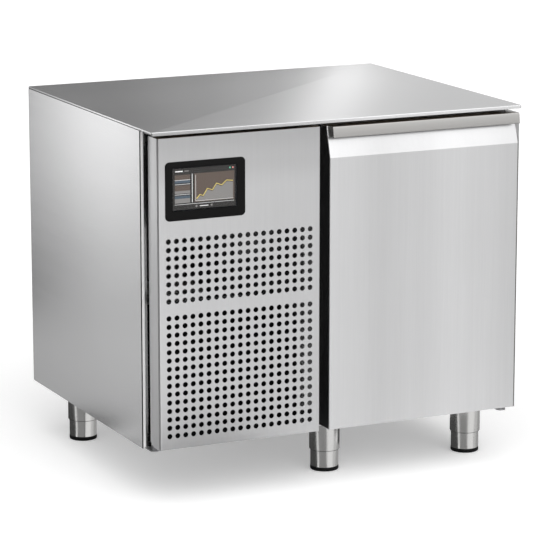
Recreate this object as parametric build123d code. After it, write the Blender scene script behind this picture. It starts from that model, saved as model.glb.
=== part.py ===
"""Two-section proofing counter: a ventilated machine section behind a perforated service panel on the
left, an insulated proofing chamber behind a right-hinged door on the right, one worktop over both.

Frame: X to the right seen from the front, Y to the rear, Z up from the floor, origin under the middle
of the whole counter. Millimetres.
"""

import os
from math import cos, pi, radians, sin, sqrt

from build123d import *

# Overall size: worktop width, front faces to rear, floor to top
width = 915.0
depth = 750.0
height = 840.0

# Sheet gauges and small clearances
worktop_gauge = 1.2
skin_gauge = 1.0
frame_gauge = 1.5
bracket_gauge = 3.0
seat_gap = 0.2
running_gap = 0.3

# Sides of the prisms that stand for round pieces
bar_sides = 8
drum_sides = 12
foot_sides = 16

# Worktop: folded edge and corner rounding
worktop_edge = 8.0
worktop_corner = 3.0

# Carcass: underside above the floor, front frame behind the front faces, folds of the side panels
floor_clearance = 121.5
stand_off = 66.0
side_lip = 4.5
side_return = 6.0
side_stile = 12.0
rear_return = 20.0
side_flange = 25.0
rail_height = 28.0
rail_depth = 30.0

# Fronts: lower edge, gap under the worktop, service panel, gap, door
fronts_bottom = 131.0
fronts_gap = 6.5
panel_inset = 13.0
panel_width = 391.0
front_gap = 24.0
door_inset = 4.5
panel_depth = 61.0
panel_flange = 16.0
return_cut_depth = 28.0
return_cut_height = 9.0
door_depth = 58.0
front_bend = 4.0

# Perforated grille in the service panel
hole_pitch = 19.0
hole_diameter = 12.0
hole_sides = 4
grille_margin = 24.0
grille_foot = 30.0
grille_head = 222.0
lower_field_rows = 15

# Touchscreen in the service panel
bezel_left = 17.7
bezel_drop = 52.7
bezel_width = 190.0
bezel_height = 130.0
bezel_corner = 10.0
bezel_proud = 2.0
bezel_rim = 6.0
window_left = 16.5
window_top = 14.0
window_width = 153.5
window_height = 95.0
glass_thickness = 2.5
display_thickness = 9.0
controller_thickness = 26.0

# Door: slanted finger recess under the handle, J-shaped handle profile, inner pan
recess_height = 69.0
recess_depth = 18.5
handle_drop = 2.0
handle_gauge = 1.5
handle_inset = 4.5
handle_lip_height = 24.5
handle_top_reach = 5.6
handle_reach = 9.5
handle_hem = 4.0
gusset_width = 11.0
pan_rise = 9.0
pan_margin = 16.0
pan_bevel = 1.2

# Door seal
gasket_offset = 6.0
gasket_width = 12.0

# Hinges: pivot places, pin, bush and bracket
door_pivot_inset = 20.0
door_pivot_set_back = 30.0
panel_pivot_inset = 8.0
panel_pivot_set_back = 49.0
pin_radius = 4.0
pin_clearance = 0.05
bush_wall = 2.8
bush_length = 26.0
bracket_half_width = 11.0
bracket_tail = 28.0
bracket_nose_sides = 6
collar_radius = 7.0

# Proofing chamber: laps of the door over the opening, walls, corner radius
lap_left = 21.5
lap_right = 37.0
lap_bottom = 36.0
lap_top = 43.5
divider_wall = 45.0
rear_wall = 60.0
chamber_corner = 14.0
frame_margin = 21.5
break_depth = 6.0

# Tray rack inside the chamber
rack_levels = 7
first_level = 40.0
last_level = 45.0
post_width = 25.0
post_reach = 10.0
post_set_back = 60.0
runner_width = 16.0
runner_height = 14.0
runner_front = 12.0

# Air unit under the chamber ceiling
air_unit_height = 110.0
air_unit_margin = 18.0
air_unit_front = 40.0
air_unit_rear = 64.0
air_fan_radius = 88.0
air_fan_set_back = 130.0
air_fan_height = 24.0
air_slot_count = 2
mouth_slots = 7
coil_length = 90.0
coil_rear = 110.0
heater_gap = 26.0
coil_height = 78.0
coil_fins = 10
heater_rod_radius = 4.0
heater_rods = 3
heater_pitch = 22.0

# Machine section: tray, condenser, fan, compressor, steam generator, electrics
unit_margin = 22.0
tray_lip = 14.0
condenser_width = 330.0
condenser_height = 300.0
condenser_thickness = 50.0
condenser_fins = 12
condenser_set_back = 40.0
fan_radius = 125.0
fan_tip_gap = 5.0
fan_duct = 28.0
fan_height = 24.0
blade_count = 4
blade_pitch = 22.0
motor_radius = 38.0
motor_length = 52.0
motor_gap = 16.0
shaft_radius = 4.0
compressor_radius = 76.0
compressor_height = 168.0
compressor_set_back = 395.0
terminal_low = 30.0
terminal_high = 75.0
terminal_width = 52.0
terminal_reach = 16.0
mount_radius = 9.0
mount_height = 13.0
receiver_radius = 34.0
receiver_height = 170.0
generator_width = 150.0
generator_depth = 130.0
generator_height = 210.0
generator_lid = 8.0
steam_pipe_radius = 9.0
steam_outlet_drop = 180.0
box_width = 110.0
box_depth = 230.0
box_height = 210.0
box_drop = 122.0
box_set_back = 130.0
box_lid = 12.0
gland_radius = 12.0
gland_neck = 10.0
gland_bore = 5.0
gland_height = 190.0

# Feet: fixed sleeve, screwed leg, plastic pad
foot_inset_left = 75.0
foot_inset_right = 62.0
foot_set_back = 133.0
foot_from_divider = 78.0
sleeve_radius = 35.5
sleeve_wall = 2.5
sleeve_bottom = 48.5
leg_radius = 32.6
leg_wall = 2.0
leg_height = 91.0
pad_height = 9.0
pad_radius = 33.0

# Places worked out from the sizes above
left = -width / 2
right = width / 2
front_y = (handle_reach - depth) / 2
rear_y = front_y + depth
carcass_y = front_y + stand_off
carcass_top = height - worktop_edge
fronts_top = carcass_top - fronts_gap
base_top = floor_clearance + skin_gauge + frame_gauge
panel_left = left + panel_inset
panel_right = panel_left + panel_width
door_left = panel_right + front_gap
door_right = right - door_inset
handle_top = fronts_top - handle_drop
door_top = handle_top - handle_gauge
chamber_x = (door_left + lap_left, door_right - lap_right)
chamber_z = (fronts_bottom + lap_bottom, fronts_top - lap_top)
chamber_rear = rear_y - rear_wall
divider_x = chamber_x[0] - divider_wall
frame_x = (panel_right - frame_margin, right - side_lip)
stile_edge = left + side_lip + side_stile
body_top = carcass_top - skin_gauge
rear_skin = rear_y - skin_gauge
liner_front = carcass_y + frame_gauge
foam_front = carcass_y + break_depth
door_pivot = (door_right - door_pivot_inset, front_y + door_pivot_set_back)
panel_pivot = (panel_left + panel_pivot_inset, front_y + panel_pivot_set_back)
bush_radius = pin_radius + pin_clearance + bush_wall
air_unit_x = (chamber_x[0] + air_unit_margin, chamber_x[1] - air_unit_margin)
air_unit_bottom = chamber_z[1] - air_unit_height
air_unit_y = (carcass_y + air_unit_front, chamber_rear - air_unit_rear)
air_coil_y = (air_unit_y[1] - coil_rear - coil_length, air_unit_y[1] - coil_rear)
air_fan_centre = (sum(air_unit_x) / 2, air_unit_y[0] + air_fan_set_back)
unit_x = (left + unit_margin, divider_x - unit_margin / 2)
tray_top = base_top + frame_gauge
condenser_y = carcass_y + condenser_set_back
shroud_y = condenser_y + condenser_thickness
fan_centre = (sum(unit_x) / 2, tray_top + condenser_height / 2)
compressor_y = front_y + compressor_set_back
generator_y = (rear_y - unit_margin - generator_depth, rear_y - unit_margin)
generator_x = (unit_x[1] - generator_width, unit_x[1])
steam_z = chamber_z[1] - steam_outlet_drop
steam_xy = (generator_x[0] + generator_width / 3, sum(generator_y) / 2)


def block(x, y, z):
    """Box between two corners, given as ranges."""
    size = (x[1] - x[0], y[1] - y[0], z[1] - z[0])
    return Pos((x[0] + x[1]) / 2, (y[0] + y[1]) / 2, (z[0] + z[1]) / 2) * Box(*size)


def face_of(points, holes=()):
    """Flat face inside an outline, with holes."""
    outer = Wire.make_polygon([Vector(*p) for p in points], close=True)
    inner = [Wire.make_polygon([Vector(*p) for p in hole], close=True) for hole in holes]
    return Face(outer, inner)


def profile_z(points, z, holes=()):
    """Outline in X and Y, raised between two heights, with holes."""
    face = face_of(
        [(x, y, z[0]) for x, y in points],
        [[(x, y, z[0]) for x, y in hole] for hole in holes],
    )
    return extrude(face, z[1] - z[0], dir=(0, 0, 1))


def profile_x(points, x):
    """Outline in Y and Z, drawn out between two widths."""
    face = face_of([(x[0], y, z) for y, z in points])
    return extrude(face, x[1] - x[0], dir=(1, 0, 0))


def profile_y(points, y, holes=()):
    """Outline in X and Z, drawn out between two depths, with holes."""
    face = face_of(
        [(x, y[0], z) for x, z in points],
        [[(x, y[0], z) for x, z in hole] for hole in holes],
    )
    return extrude(face, y[1] - y[0], dir=(0, 1, 0))


def folded(points, gauge):
    """Closed outline of a folded sheet: its outer line is given, the gauge lies to the left of it."""
    steps = [(b[0] - a[0], b[1] - a[1]) for a, b in zip(points, points[1:])]
    normals = [(-dy / sqrt(dx * dx + dy * dy), dx / sqrt(dx * dx + dy * dy)) for dx, dy in steps]
    normals = [normals[0]] + normals + [normals[-1]]
    inner = []
    for point, first, second in zip(points, normals, normals[1:]):
        mitre = (first[0] + second[0], first[1] + second[1])
        reach = gauge / (mitre[0] * first[0] + mitre[1] * first[1])
        inner.append((point[0] + mitre[0] * reach, point[1] + mitre[1] * reach))
    return points + inner[::-1]


def round_points(centre, radius, sides):
    """Corners of a regular outline round a centre."""
    turns = [2.0 * pi * i / sides for i in range(sides)]
    return [(centre[0] + radius * cos(turn), centre[1] + radius * sin(turn)) for turn in turns]


def bar_z(centre, radius, z, sides=bar_sides):
    """Upright bar."""
    return profile_z(round_points(centre, radius, sides), z)


def bar_y(centre, radius, y, sides=bar_sides):
    """Bar from front to rear, its centre given in X and Z."""
    return profile_y(round_points(centre, radius, sides), y)


def bar_x(centre, radius, x, sides=bar_sides):
    """Bar across the counter, its centre given in Y and Z."""
    return profile_x(round_points(centre, radius, sides), x)


def round_bore(radius, sides=bar_sides):
    """Corner radius of a flat-sided bore that clears a round bar of some radius."""
    return radius / cos(pi / sides)


def drum(centre, sections):
    """Upright drum through a list of radii and heights."""
    rings = []
    for radius, z in sections:
        rings.append([(x, y, z) for x, y in round_points(centre, radius, drum_sides)])
    faces = [face_of(rings[0]), face_of(rings[-1])]
    for low, high in zip(rings, rings[1:]):
        for i in range(drum_sides):
            faces.append(face_of([low[i - 1], low[i], high[i], high[i - 1]]))
    return Solid(Shell(faces))


def around_opening(spread, y):
    """Block that fills the chamber opening, spread outwards by some wall, between two depths."""
    size = (chamber_x[1] - chamber_x[0] + 2 * spread, chamber_z[1] - chamber_z[0] + 2 * spread)
    centre = (sum(chamber_x) / 2, y[0], sum(chamber_z) / 2)
    plane = Plane(origin=centre, x_dir=(1, 0, 0), z_dir=(0, -1, 0))
    corner = max(chamber_corner + spread, chamber_corner / 2)
    return extrude(plane * RectangleRounded(*size, corner), y[1] - y[0], dir=(0, 1, 0))


# Worktop

def make_worktop():
    """Stainless sheet with its edges folded down and its corners rounded."""
    top = block((left, right), (front_y, rear_y), (carcass_top, height))
    top = fillet(top.edges().filter_by(Axis.Z), worktop_corner)
    hollow = block(
        (left + worktop_gauge, right - worktop_gauge),
        (front_y + worktop_gauge, rear_y - worktop_gauge),
        (carcass_top, height - worktop_gauge),
    )
    return top - hollow


def make_worktop_board():
    """Stiffening board bonded inside the folded worktop."""
    wall = worktop_gauge + seat_gap
    return block(
        (left + wall, right - wall),
        (front_y + wall, rear_y - wall),
        (carcass_top, height - worktop_gauge),
    )


# Carcass

def make_left_side():
    """Side panel: narrow front lip turned back on itself, rear fold, flanges at top and bottom."""
    line = [
        (left + rear_return, rear_y),
        (left, rear_y),
        (left, carcass_y),
        (left + side_lip, carcass_y),
        (left + side_lip, carcass_y + side_return),
    ]
    panel = profile_z(folded(line, skin_gauge), (floor_clearance, carcass_top))
    flange_x = (left + skin_gauge / 2, left + side_flange)
    flange_y = (carcass_y + side_return, rear_skin)
    for low in (floor_clearance, body_top):
        panel += block(flange_x, flange_y, (low, low + skin_gauge))
    return panel


def make_stile():
    """Inner fold of the left side panel, behind the gap beside the service panel."""
    x = (left + side_lip - skin_gauge, stile_edge)
    y = (carcass_y + side_return, carcass_y + side_return + skin_gauge)
    return block(x, y, (base_top, body_top))


def make_base_panel():
    """Bottom sheet resting on the lower flanges of both side panels."""
    edge = side_lip
    return block((left + edge, right - edge), (carcass_y, rear_skin), (base_top - frame_gauge, base_top))


def make_rail(z):
    """Channel across the front of the machine section, open to the rear."""
    line = [
        (carcass_y + rail_depth, z[1]),
        (carcass_y, z[1]),
        (carcass_y, z[0]),
        (carcass_y + rail_depth, z[0]),
    ]
    return profile_x(folded(line, frame_gauge), (stile_edge + seat_gap, frame_x[0]))


def make_divider_panel():
    """Galvanised skin of the chamber on the machine side, with a hole for the steam pipe."""
    skin = block((divider_x, divider_x + skin_gauge), (foam_front, rear_skin), (base_top, body_top))
    return skin - steam_passage()


def make_rear_panel():
    """Skin over the rear of the chamber, lapping over the grille's edge."""
    return block((frame_x[0], right - rear_return), (rear_skin, rear_y), (base_top, body_top))


def make_rear_grille():
    """Rear cover of the machine section with air slots and the cable gland's hole."""
    x = (left + skin_gauge + seat_gap, divider_x - seat_gap)
    y = (rear_skin - skin_gauge, rear_skin)
    slot_height = 8.0
    slot_pitch = 24.0
    slot_left = 40.0
    slot_right = 140.0
    slot_rows = 8
    slots = []
    for row in range(slot_rows):
        low = base_top + 330.0 + row * slot_pitch
        slots.append([
            (x[0] + slot_left, low),
            (x[1] - slot_right, low),
            (x[1] - slot_right, low + slot_height),
            (x[0] + slot_left, low + slot_height),
        ])
    outline = [(x[0], base_top), (x[1], base_top), (x[1], body_top), (x[0], body_top)]
    cover = profile_y(outline, y, slots)
    return cover - bar_y(gland_centre(), gland_neck + seat_gap, (y[0] - 1.0, y[1] + 1.0))


def gland_centre():
    """Place of the cable gland on the rear grille, in X and Z."""
    return (left + unit_margin * 3, gland_height)


def make_cable_gland():
    """Cable gland: hexagonal head outside, neck through the grille into the machine section."""
    centre = gland_centre()
    head = bar_y(centre, gland_radius, (rear_skin, rear_y), 6)
    neck = bar_y(centre, gland_neck, (rear_skin - 14.0, rear_skin))
    return head + neck - bar_y(centre, gland_bore, (rear_skin - 15.0, rear_y + 1.0))


# Proofing chamber

def make_front_frame():
    """Face frame round the chamber opening."""
    plate = block(frame_x, (carcass_y, liner_front), (base_top, body_top))
    return plate - around_opening(0.0, (carcass_y - 1.0, liner_front + 1.0))


def liner_block(y):
    """Block as large as the outside of the chamber liner, between two depths."""
    x = (chamber_x[0] - skin_gauge, chamber_x[1] + skin_gauge)
    return block(x, y, (chamber_z[0] - skin_gauge, chamber_z[1] + skin_gauge))


def make_thermal_break():
    """Plastic spacer between the face frame and the foam body."""
    y = (liner_front, foam_front)
    ring = block((divider_x, frame_x[1]), y, (base_top, body_top))
    return ring - liner_block((y[0] - 1.0, y[1] + 1.0))


def make_insulation_body():
    """Foamed body with the chamber as its cavity, open to the front."""
    body = block(
        (divider_x + skin_gauge, right - skin_gauge),
        (foam_front, rear_skin),
        (base_top, body_top),
    )
    return body - liner_block((foam_front - 1.0, chamber_rear + skin_gauge)) - steam_passage()


def make_chamber_liner():
    """Inner tank of the chamber with rounded long corners."""
    tank = liner_block((liner_front, chamber_rear + skin_gauge))
    return tank - around_opening(0.0, (liner_front - 1.0, chamber_rear)) - steam_passage()


def steam_passage():
    """Hole through the divider wall for the steam pipe."""
    x = (divider_x - 2.0, chamber_x[0] + 2.0)
    return bar_x((steam_xy[1], steam_z), steam_pipe_radius + seat_gap, x)


def rack_heights():
    """Height of the top face of each pair of runners."""
    low = chamber_z[0] + first_level
    pitch = (air_unit_bottom - last_level - low) / (rack_levels - 1)
    return [low + i * pitch for i in range(rack_levels)]


def post_centres():
    """Distances of the rack posts along the chamber."""
    first = liner_front + post_set_back + post_width / 2
    last = chamber_rear - post_set_back - post_width / 2
    return (first, last)


def make_rack_post(y):
    """Upright channel against the left wall, open towards it."""
    x = chamber_x[0]
    line = [
        (x, y - post_width / 2),
        (x + post_reach, y - post_width / 2),
        (x + post_reach, y + post_width / 2),
        (x, y + post_width / 2),
    ]
    top = rack_heights()[-1] + post_reach
    return profile_z(folded(line, frame_gauge), (chamber_z[0] + chamber_corner, top))


def make_runner(z):
    """Tray runner on the left posts: a ledge with its other leg folded down along them."""
    x = chamber_x[0] + post_reach
    line = [(x + runner_width, z), (x, z), (x, z - runner_height)]
    y = (liner_front + runner_front, chamber_rear - runner_front + frame_gauge)
    return profile_y(folded(line, frame_gauge), y)


def to_right_wall(shape):
    """Copy of a left-hand piece, mirrored to the chamber's right wall."""
    return mirror(shape, about=Plane.YZ.offset(sum(chamber_x) / 2))


def make_rack_posts():
    """Four posts, two on each wall."""
    posts = [make_rack_post(y) for y in post_centres()]
    return Compound(posts + [to_right_wall(post) for post in posts])


def make_tray_runners():
    """A pair of runners for every level."""
    runners = [make_runner(z) for z in rack_heights()]
    return Compound(runners + [to_right_wall(runner) for runner in runners])


# Air unit

def make_air_unit_cover():
    """Folded cover of the air unit, with a slotted fan mouth and air slots along both sides."""
    line = [
        (air_unit_x[0], chamber_z[1]),
        (air_unit_x[0], air_unit_bottom),
        (air_unit_x[1], air_unit_bottom),
        (air_unit_x[1], chamber_z[1]),
    ]
    cover = profile_y(folded(line, skin_gauge), air_unit_y)
    for y in (air_unit_y[0], air_unit_y[1] - skin_gauge):
        cover += block(air_unit_x, (y, y + skin_gauge), (air_unit_bottom, chamber_z[1]))
    sheet_z = (air_unit_bottom - 1.0, air_unit_bottom + skin_gauge + 1.0)
    mouth_pitch = 2.0 * air_fan_radius / mouth_slots
    for i in range(mouth_slots):
        off = (i - (mouth_slots - 1) / 2) * mouth_pitch
        half = sqrt(air_fan_radius ** 2 - off ** 2)
        x = (air_fan_centre[0] + off - mouth_pitch * 0.32, air_fan_centre[0] + off + mouth_pitch * 0.32)
        cover -= block(x, (air_fan_centre[1] - half, air_fan_centre[1] + half), sheet_z)
    slot_width = 7.0
    slot_length = 180.0
    slot_inset = 24.0
    pitch = (air_unit_y[1] - air_unit_y[0]) / air_slot_count
    for i in range(air_slot_count):
        middle = air_unit_y[0] + (i + 0.5) * pitch
        slot_y = (middle - slot_length / 2, middle + slot_length / 2)
        for x in (air_unit_x[0] + slot_inset, air_unit_x[1] - slot_inset - slot_width):
            cover -= block((x, x + slot_width), slot_y, sheet_z)
    return cover


def make_air_fan_motor():
    """Fan motor hung from a strap between the cover's side walls, shaft downwards."""
    strap_z = (chamber_z[1] - 14.0, chamber_z[1] - 14.0 + bracket_gauge)
    inner_x = (air_unit_x[0] + skin_gauge, air_unit_x[1] - skin_gauge)
    strap = block(inner_x, (air_fan_centre[1] - 15.0, air_fan_centre[1] + 15.0), strap_z)
    motor_low = strap_z[0] - motor_length * 0.7
    motor = bar_z(air_fan_centre, motor_radius * 0.8, (motor_low, strap_z[0]), drum_sides)
    return strap + motor + bar_z(air_fan_centre, shaft_radius, (air_fan_top(), motor_low))


def air_fan_top():
    """Height of the upper face of the air unit's fan hub."""
    return air_unit_bottom + skin_gauge + 8.0 + air_fan_height


def fan_blades(radius, thickness):
    """Axial fan lying on the origin: hub and flat blades set at a pitch."""
    hub_radius = radius * 0.24
    fan = bar_z((0, 0), hub_radius, (-thickness / 2, thickness / 2), 12)
    root = hub_radius * 0.8
    tip = radius * 0.94
    chord = thickness / sin(radians(blade_pitch)) * 0.85
    outline = [(root, -chord * 0.35), (tip, -chord * 0.5), (tip, chord * 0.5), (root, chord * 0.35)]
    blade = Rot(blade_pitch, 0, 0) * profile_z(outline, (-0.75, 0.75))
    for i in range(blade_count):
        fan += Rot(0, 0, i * 360.0 / blade_count) * blade
    return fan


def make_air_fan_blades():
    """Fan of the air unit, turning just above the mouth of the cover."""
    middle = air_fan_top() - air_fan_height / 2
    place = Pos(air_fan_centre[0], air_fan_centre[1], middle)
    return place * fan_blades(air_fan_radius, air_fan_height)


def comb(x, y, z, count, spine):
    """Finned block: plates across the width, joined by a spine at the rear."""
    pitch = (x[1] - x[0]) / (count - 0.5)
    points = [(x[0], y[1])]
    for i in range(count):
        low = x[0] + i * pitch
        points += [(low, y[0]), (low + pitch / 2, y[0])]
        if i < count - 1:
            points += [(low + pitch / 2, y[1] - spine), (low + pitch, y[1] - spine)]
    points += [(x[1], y[1])]
    return profile_z(points, z)


def make_air_coil():
    """Finned coil standing on the cover between two end plates."""
    x = (air_unit_x[0] + 44.0, air_unit_x[1] - 44.0)
    y = air_coil_y
    floor = air_unit_bottom + skin_gauge
    coil = comb(x, y, (floor + 8.0, floor + 8.0 + coil_height), coil_fins, coil_length / 4)
    for low in (x[0] - frame_gauge, x[1]):
        coil += block((low, low + frame_gauge), y, (floor, floor + coil_height + 14.0))
    return coil


def make_heater_rods():
    """Sheathed heating rods across the air unit, behind the coil."""
    inner_x = (air_unit_x[0] + skin_gauge, air_unit_x[1] - skin_gauge)
    first = air_coil_y[1] + heater_gap
    z = air_unit_bottom + air_unit_height / 2
    return Compound([
        bar_x((first + i * heater_pitch, z), heater_rod_radius, inner_x) for i in range(heater_rods)
    ])


# Machine section

def make_unit_tray():
    """Folded tray under the refrigerating unit."""
    x = unit_x
    line = [
        (x[0], base_top + tray_lip),
        (x[0], base_top),
        (x[1], base_top),
        (x[1], base_top + tray_lip),
    ]
    return profile_y(folded(line, frame_gauge), (condenser_y, generator_y[0] - 10.0))


def condenser_x():
    """Width taken by the condenser."""
    return (fan_centre[0] - condenser_width / 2, fan_centre[0] + condenser_width / 2)


def make_condenser_coil():
    """Finned condenser just behind the service panel, between two end plates."""
    x = condenser_x()
    y = (condenser_y, condenser_y + condenser_thickness)
    z = (tray_top, tray_top + condenser_height)
    coil = comb(x, y, z, condenser_fins, condenser_thickness / 3)
    for low in (x[0] - frame_gauge, x[1]):
        coil += block((low, low + frame_gauge), y, z)
    return coil


def make_fan_shroud():
    """Plate over the condenser's rear face with a round duct for the fan."""
    x = condenser_x()
    z = (tray_top, tray_top + condenser_height)
    plate = block(x, (shroud_y, shroud_y + frame_gauge), z)
    mouth = round_bore(fan_radius + fan_tip_gap, drum_sides)
    duct = bar_y(fan_centre, mouth + frame_gauge, (shroud_y, shroud_y + fan_duct), drum_sides)
    bore = bar_y(fan_centre, mouth, (shroud_y - 1.0, shroud_y + fan_duct + 1.0), drum_sides)
    return plate + duct - bore


def fan_middle():
    """Depth of the middle of the condenser fan."""
    return shroud_y + fan_duct * 0.6


def make_fan_motor():
    """Condenser fan motor on an upright foot bracket, shaft towards the front."""
    face = fan_middle() + fan_height / 2 + motor_gap
    motor = bar_y(fan_centre, motor_radius, (face, face + motor_length), drum_sides)
    shaft = bar_y(fan_centre, shaft_radius, (fan_middle() + fan_height / 2, face))
    y = face + motor_length
    foot = 40.0
    line = [
        (y, fan_centre[1] + motor_radius),
        (y, tray_top),
        (y + foot, tray_top),
    ]
    bracket_x = (fan_centre[0] - motor_radius, fan_centre[0] + motor_radius)
    return motor + shaft + profile_x(folded(line, bracket_gauge), bracket_x)


def make_fan_blades():
    """Condenser fan, turning about a front-to-rear axis."""
    place = Pos(fan_centre[0], fan_middle(), fan_centre[1]) * Rot(90, 0, 0)
    return place * fan_blades(fan_radius, fan_height)


def mount_places():
    """Places of the four rubber mounts under the compressor."""
    x = fan_centre[0] + 6.0
    spread = compressor_radius * 0.8
    return [(x + i * spread, compressor_y + j * spread) for i in (-1, 1) for j in (-1, 1)]


def make_compressor():
    """Hermetic compressor: domed shell with a weld seam on a foot plate, with its terminal cover."""
    centre = (fan_centre[0] + 6.0, compressor_y)
    foot_z = tray_top + mount_height
    r = compressor_radius
    low = foot_z + frame_gauge
    high = low + compressor_height
    seam = low + compressor_height * 0.45
    body = [(r * 0.7, low), (r * 0.95, low + 20.0), (r * 0.95, seam), (r, seam)]
    cap = [(r, seam + 8.0), (r * 0.95, seam + 8.0), (r * 0.9, high - 30.0), (r * 0.4, high)]
    shell = drum(centre, body + cap)
    half = r * 0.8 + mount_radius + 4.0
    plate_x = (centre[0] - half, centre[0] + half)
    plate_y = (centre[1] - half, centre[1] + half)
    plate = block(plate_x, plate_y, (foot_z, foot_z + frame_gauge))
    cover_x = (centre[0] + r * 0.7, centre[0] + r + terminal_reach)
    cover_y = (centre[1] - terminal_width / 2, centre[1] + terminal_width / 2)
    cover_z = (low + terminal_low, low + terminal_high)
    return shell + plate + block(cover_x, cover_y, cover_z)


def make_compressor_mounts():
    """Rubber mounts between the tray and the compressor's foot plate."""
    z = (tray_top, tray_top + mount_height)
    return Compound([bar_z(place, mount_radius, z) for place in mount_places()])


def make_receiver():
    """Upright liquid receiver with dished ends."""
    centre = (unit_x[0] + receiver_radius + 12.0, generator_y[0] - receiver_radius - 24.0)
    r = receiver_radius
    low = tray_top
    high = low + receiver_height
    return drum(centre, [(r * 0.7, low), (r, low + 14.0), (r, high - 16.0), (r * 0.5, high)])


def make_steam_generator():
    """Steam generator tank on the base, with a lid that overhangs it."""
    x, y = generator_x, generator_y
    z = (base_top, base_top + generator_height)
    rim = 5.0
    lid = block(
        (x[0] - rim, x[1] + rim),
        (y[0] - rim, y[1] + rim),
        (z[1], z[1] + generator_lid),
    )
    return block(x, y, z) + lid


def make_steam_pipe():
    """Steam pipe from the generator's lid up and across into the chamber."""
    x, y = steam_xy
    start = (x, y, base_top + generator_height + generator_lid)
    path = Polyline(start, (x, y, steam_z), (chamber_x[0] + 14.0, y, steam_z))
    plane = Plane(origin=start, z_dir=(0, 0, 1))
    outer = plane * RegularPolygon(steam_pipe_radius, bar_sides)
    inner = plane * RegularPolygon(steam_pipe_radius - frame_gauge, bar_sides)
    pipe = sweep(outer, path, transition=Transition.RIGHT)
    return pipe - sweep(inner, path, transition=Transition.RIGHT)


def make_electrical_box():
    """Closed box for the electrics, fixed to the divider wall, with a lipped lid on its left."""
    x = (divider_x - box_width, divider_x)
    y = (carcass_y + box_set_back, carcass_y + box_set_back + box_depth)
    z = (carcass_top - box_drop - box_height, carcass_top - box_drop)
    lip = 4.0
    box = block((x[0] + box_lid, x[1]), y, z)
    return box + block((x[0], x[0] + box_lid), (y[0] - lip, y[1] + lip), (z[0] - lip, z[1] + lip))


# Door

def door_section(inset):
    """Side view of the door: flat front, slanted finger recess, flat top; inset from its outer line."""
    slope = recess_depth / recess_height
    shift = inset * sqrt(1.0 + slope * slope)
    recess_bottom = door_top - recess_height
    low = fronts_bottom + inset
    high = door_top - inset
    bend = recess_bottom + (shift - inset) / slope
    at_top = front_y + slope * (high - recess_bottom) + shift
    rear = front_y + door_depth
    return [
        (rear, low),
        (front_y + inset, low),
        (front_y + inset, bend),
        (at_top, high),
        (rear, high),
    ]


def make_door_skin():
    """Outer skin of the door, open at the rear, with the closed corner at the hinge end."""
    body = profile_x(door_section(0.0), (door_left, door_right))
    upright = body.edges().filter_by(Axis.Z).sort_by(Axis.Y)[:2]
    body = fillet(upright, front_bend / 2)
    inner_x = (door_left + skin_gauge, door_right - skin_gauge)
    hollow = profile_x(door_section(skin_gauge), inner_x)
    rear = front_y + door_depth
    inner_z = (fronts_bottom + skin_gauge, door_top - skin_gauge)
    mouth = block(inner_x, (rear - skin_gauge, rear + 1.0), inner_z)
    return body - hollow - mouth + make_gusset() - pin_holes(door_pivot, door_top)


def make_gusset():
    """Folded corner that closes the finger recess at the hinge end."""
    low = door_top - recess_height
    corner = (door_right, front_y, low)
    front = (door_right, front_y, door_top)
    back = (door_right, front_y + recess_depth, door_top)
    inner = (door_right - gusset_width, front_y + recess_depth, door_top)
    faces = [
        face_of([corner, front, back]),
        face_of([corner, back, inner]),
        face_of([corner, inner, front]),
        face_of([front, inner, back]),
    ]
    return Solid(Shell(faces))


def pin_holes(pivot, top):
    """Clearance holes for the hinge pins in a front's lower and upper sheet."""
    radius = pin_radius + 2.0
    holes = bar_z(pivot, radius, (fronts_bottom - 1.0, fronts_bottom + skin_gauge + 1.0))
    return holes + bar_z(pivot, radius, (top - skin_gauge - 1.0, top + 1.0))


def bush_heights(top):
    """Height ranges of a front's lower and upper hinge bush."""
    low = fronts_bottom + skin_gauge
    high = top - skin_gauge
    return [(low, low + bush_length), (high - bush_length, high)]


def make_bushes(pivot, top):
    """Plain bushes seated inside a front, one at each end of the hinge line."""
    outer = round_points(pivot, bush_radius, bar_sides)
    bore = round_points(pivot, round_bore(pin_radius + pin_clearance), bar_sides)
    return Compound([profile_z(outer, z, [bore]) for z in bush_heights(top)])


def make_door_insulation():
    """Foam core that fills the door between skin and inner pan, and the pan's raised centre."""
    rear = front_y + door_depth
    inner_x = (door_left + skin_gauge, door_right - skin_gauge)
    core = profile_x(door_section(skin_gauge), inner_x)
    core -= block(inner_x, (rear - skin_gauge, rear + 1.0), (fronts_bottom, door_top))
    core += pan_centre(skin_gauge, (rear - skin_gauge, rear + pan_rise - skin_gauge))
    pocket = bush_radius + seat_gap
    x = (door_pivot[0] - pocket, door_pivot[0] + pocket)
    y = (door_pivot[1] - pocket, door_pivot[1] + pocket)
    for low, high in bush_heights(door_top):
        core -= block(x, y, (low, high))
    return core


def pan_centre(inset, y):
    """Block that fills the raised centre of the door's inner pan, inset from it, between two depths."""
    inset += pan_margin
    x = (chamber_x[0] + inset, chamber_x[1] - inset)
    return block(x, y, (chamber_z[0] + inset, chamber_z[1] - inset))


def make_door_pan():
    """Inner pan of the door: flat rim that carries the seal and a raised centre."""
    rear = front_y + door_depth
    rim = block(
        (door_left + skin_gauge, door_right - skin_gauge),
        (rear - skin_gauge, rear),
        (fronts_bottom + skin_gauge, door_top - skin_gauge),
    )
    raised = pan_centre(0.0, (rear - skin_gauge, rear + pan_rise))
    upright = raised.edges().filter_by(Axis.Y)
    raised = chamfer(upright, pan_bevel)
    return rim + raised - pan_centre(skin_gauge, (rear - 2.0, rear + pan_rise - skin_gauge))


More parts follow.
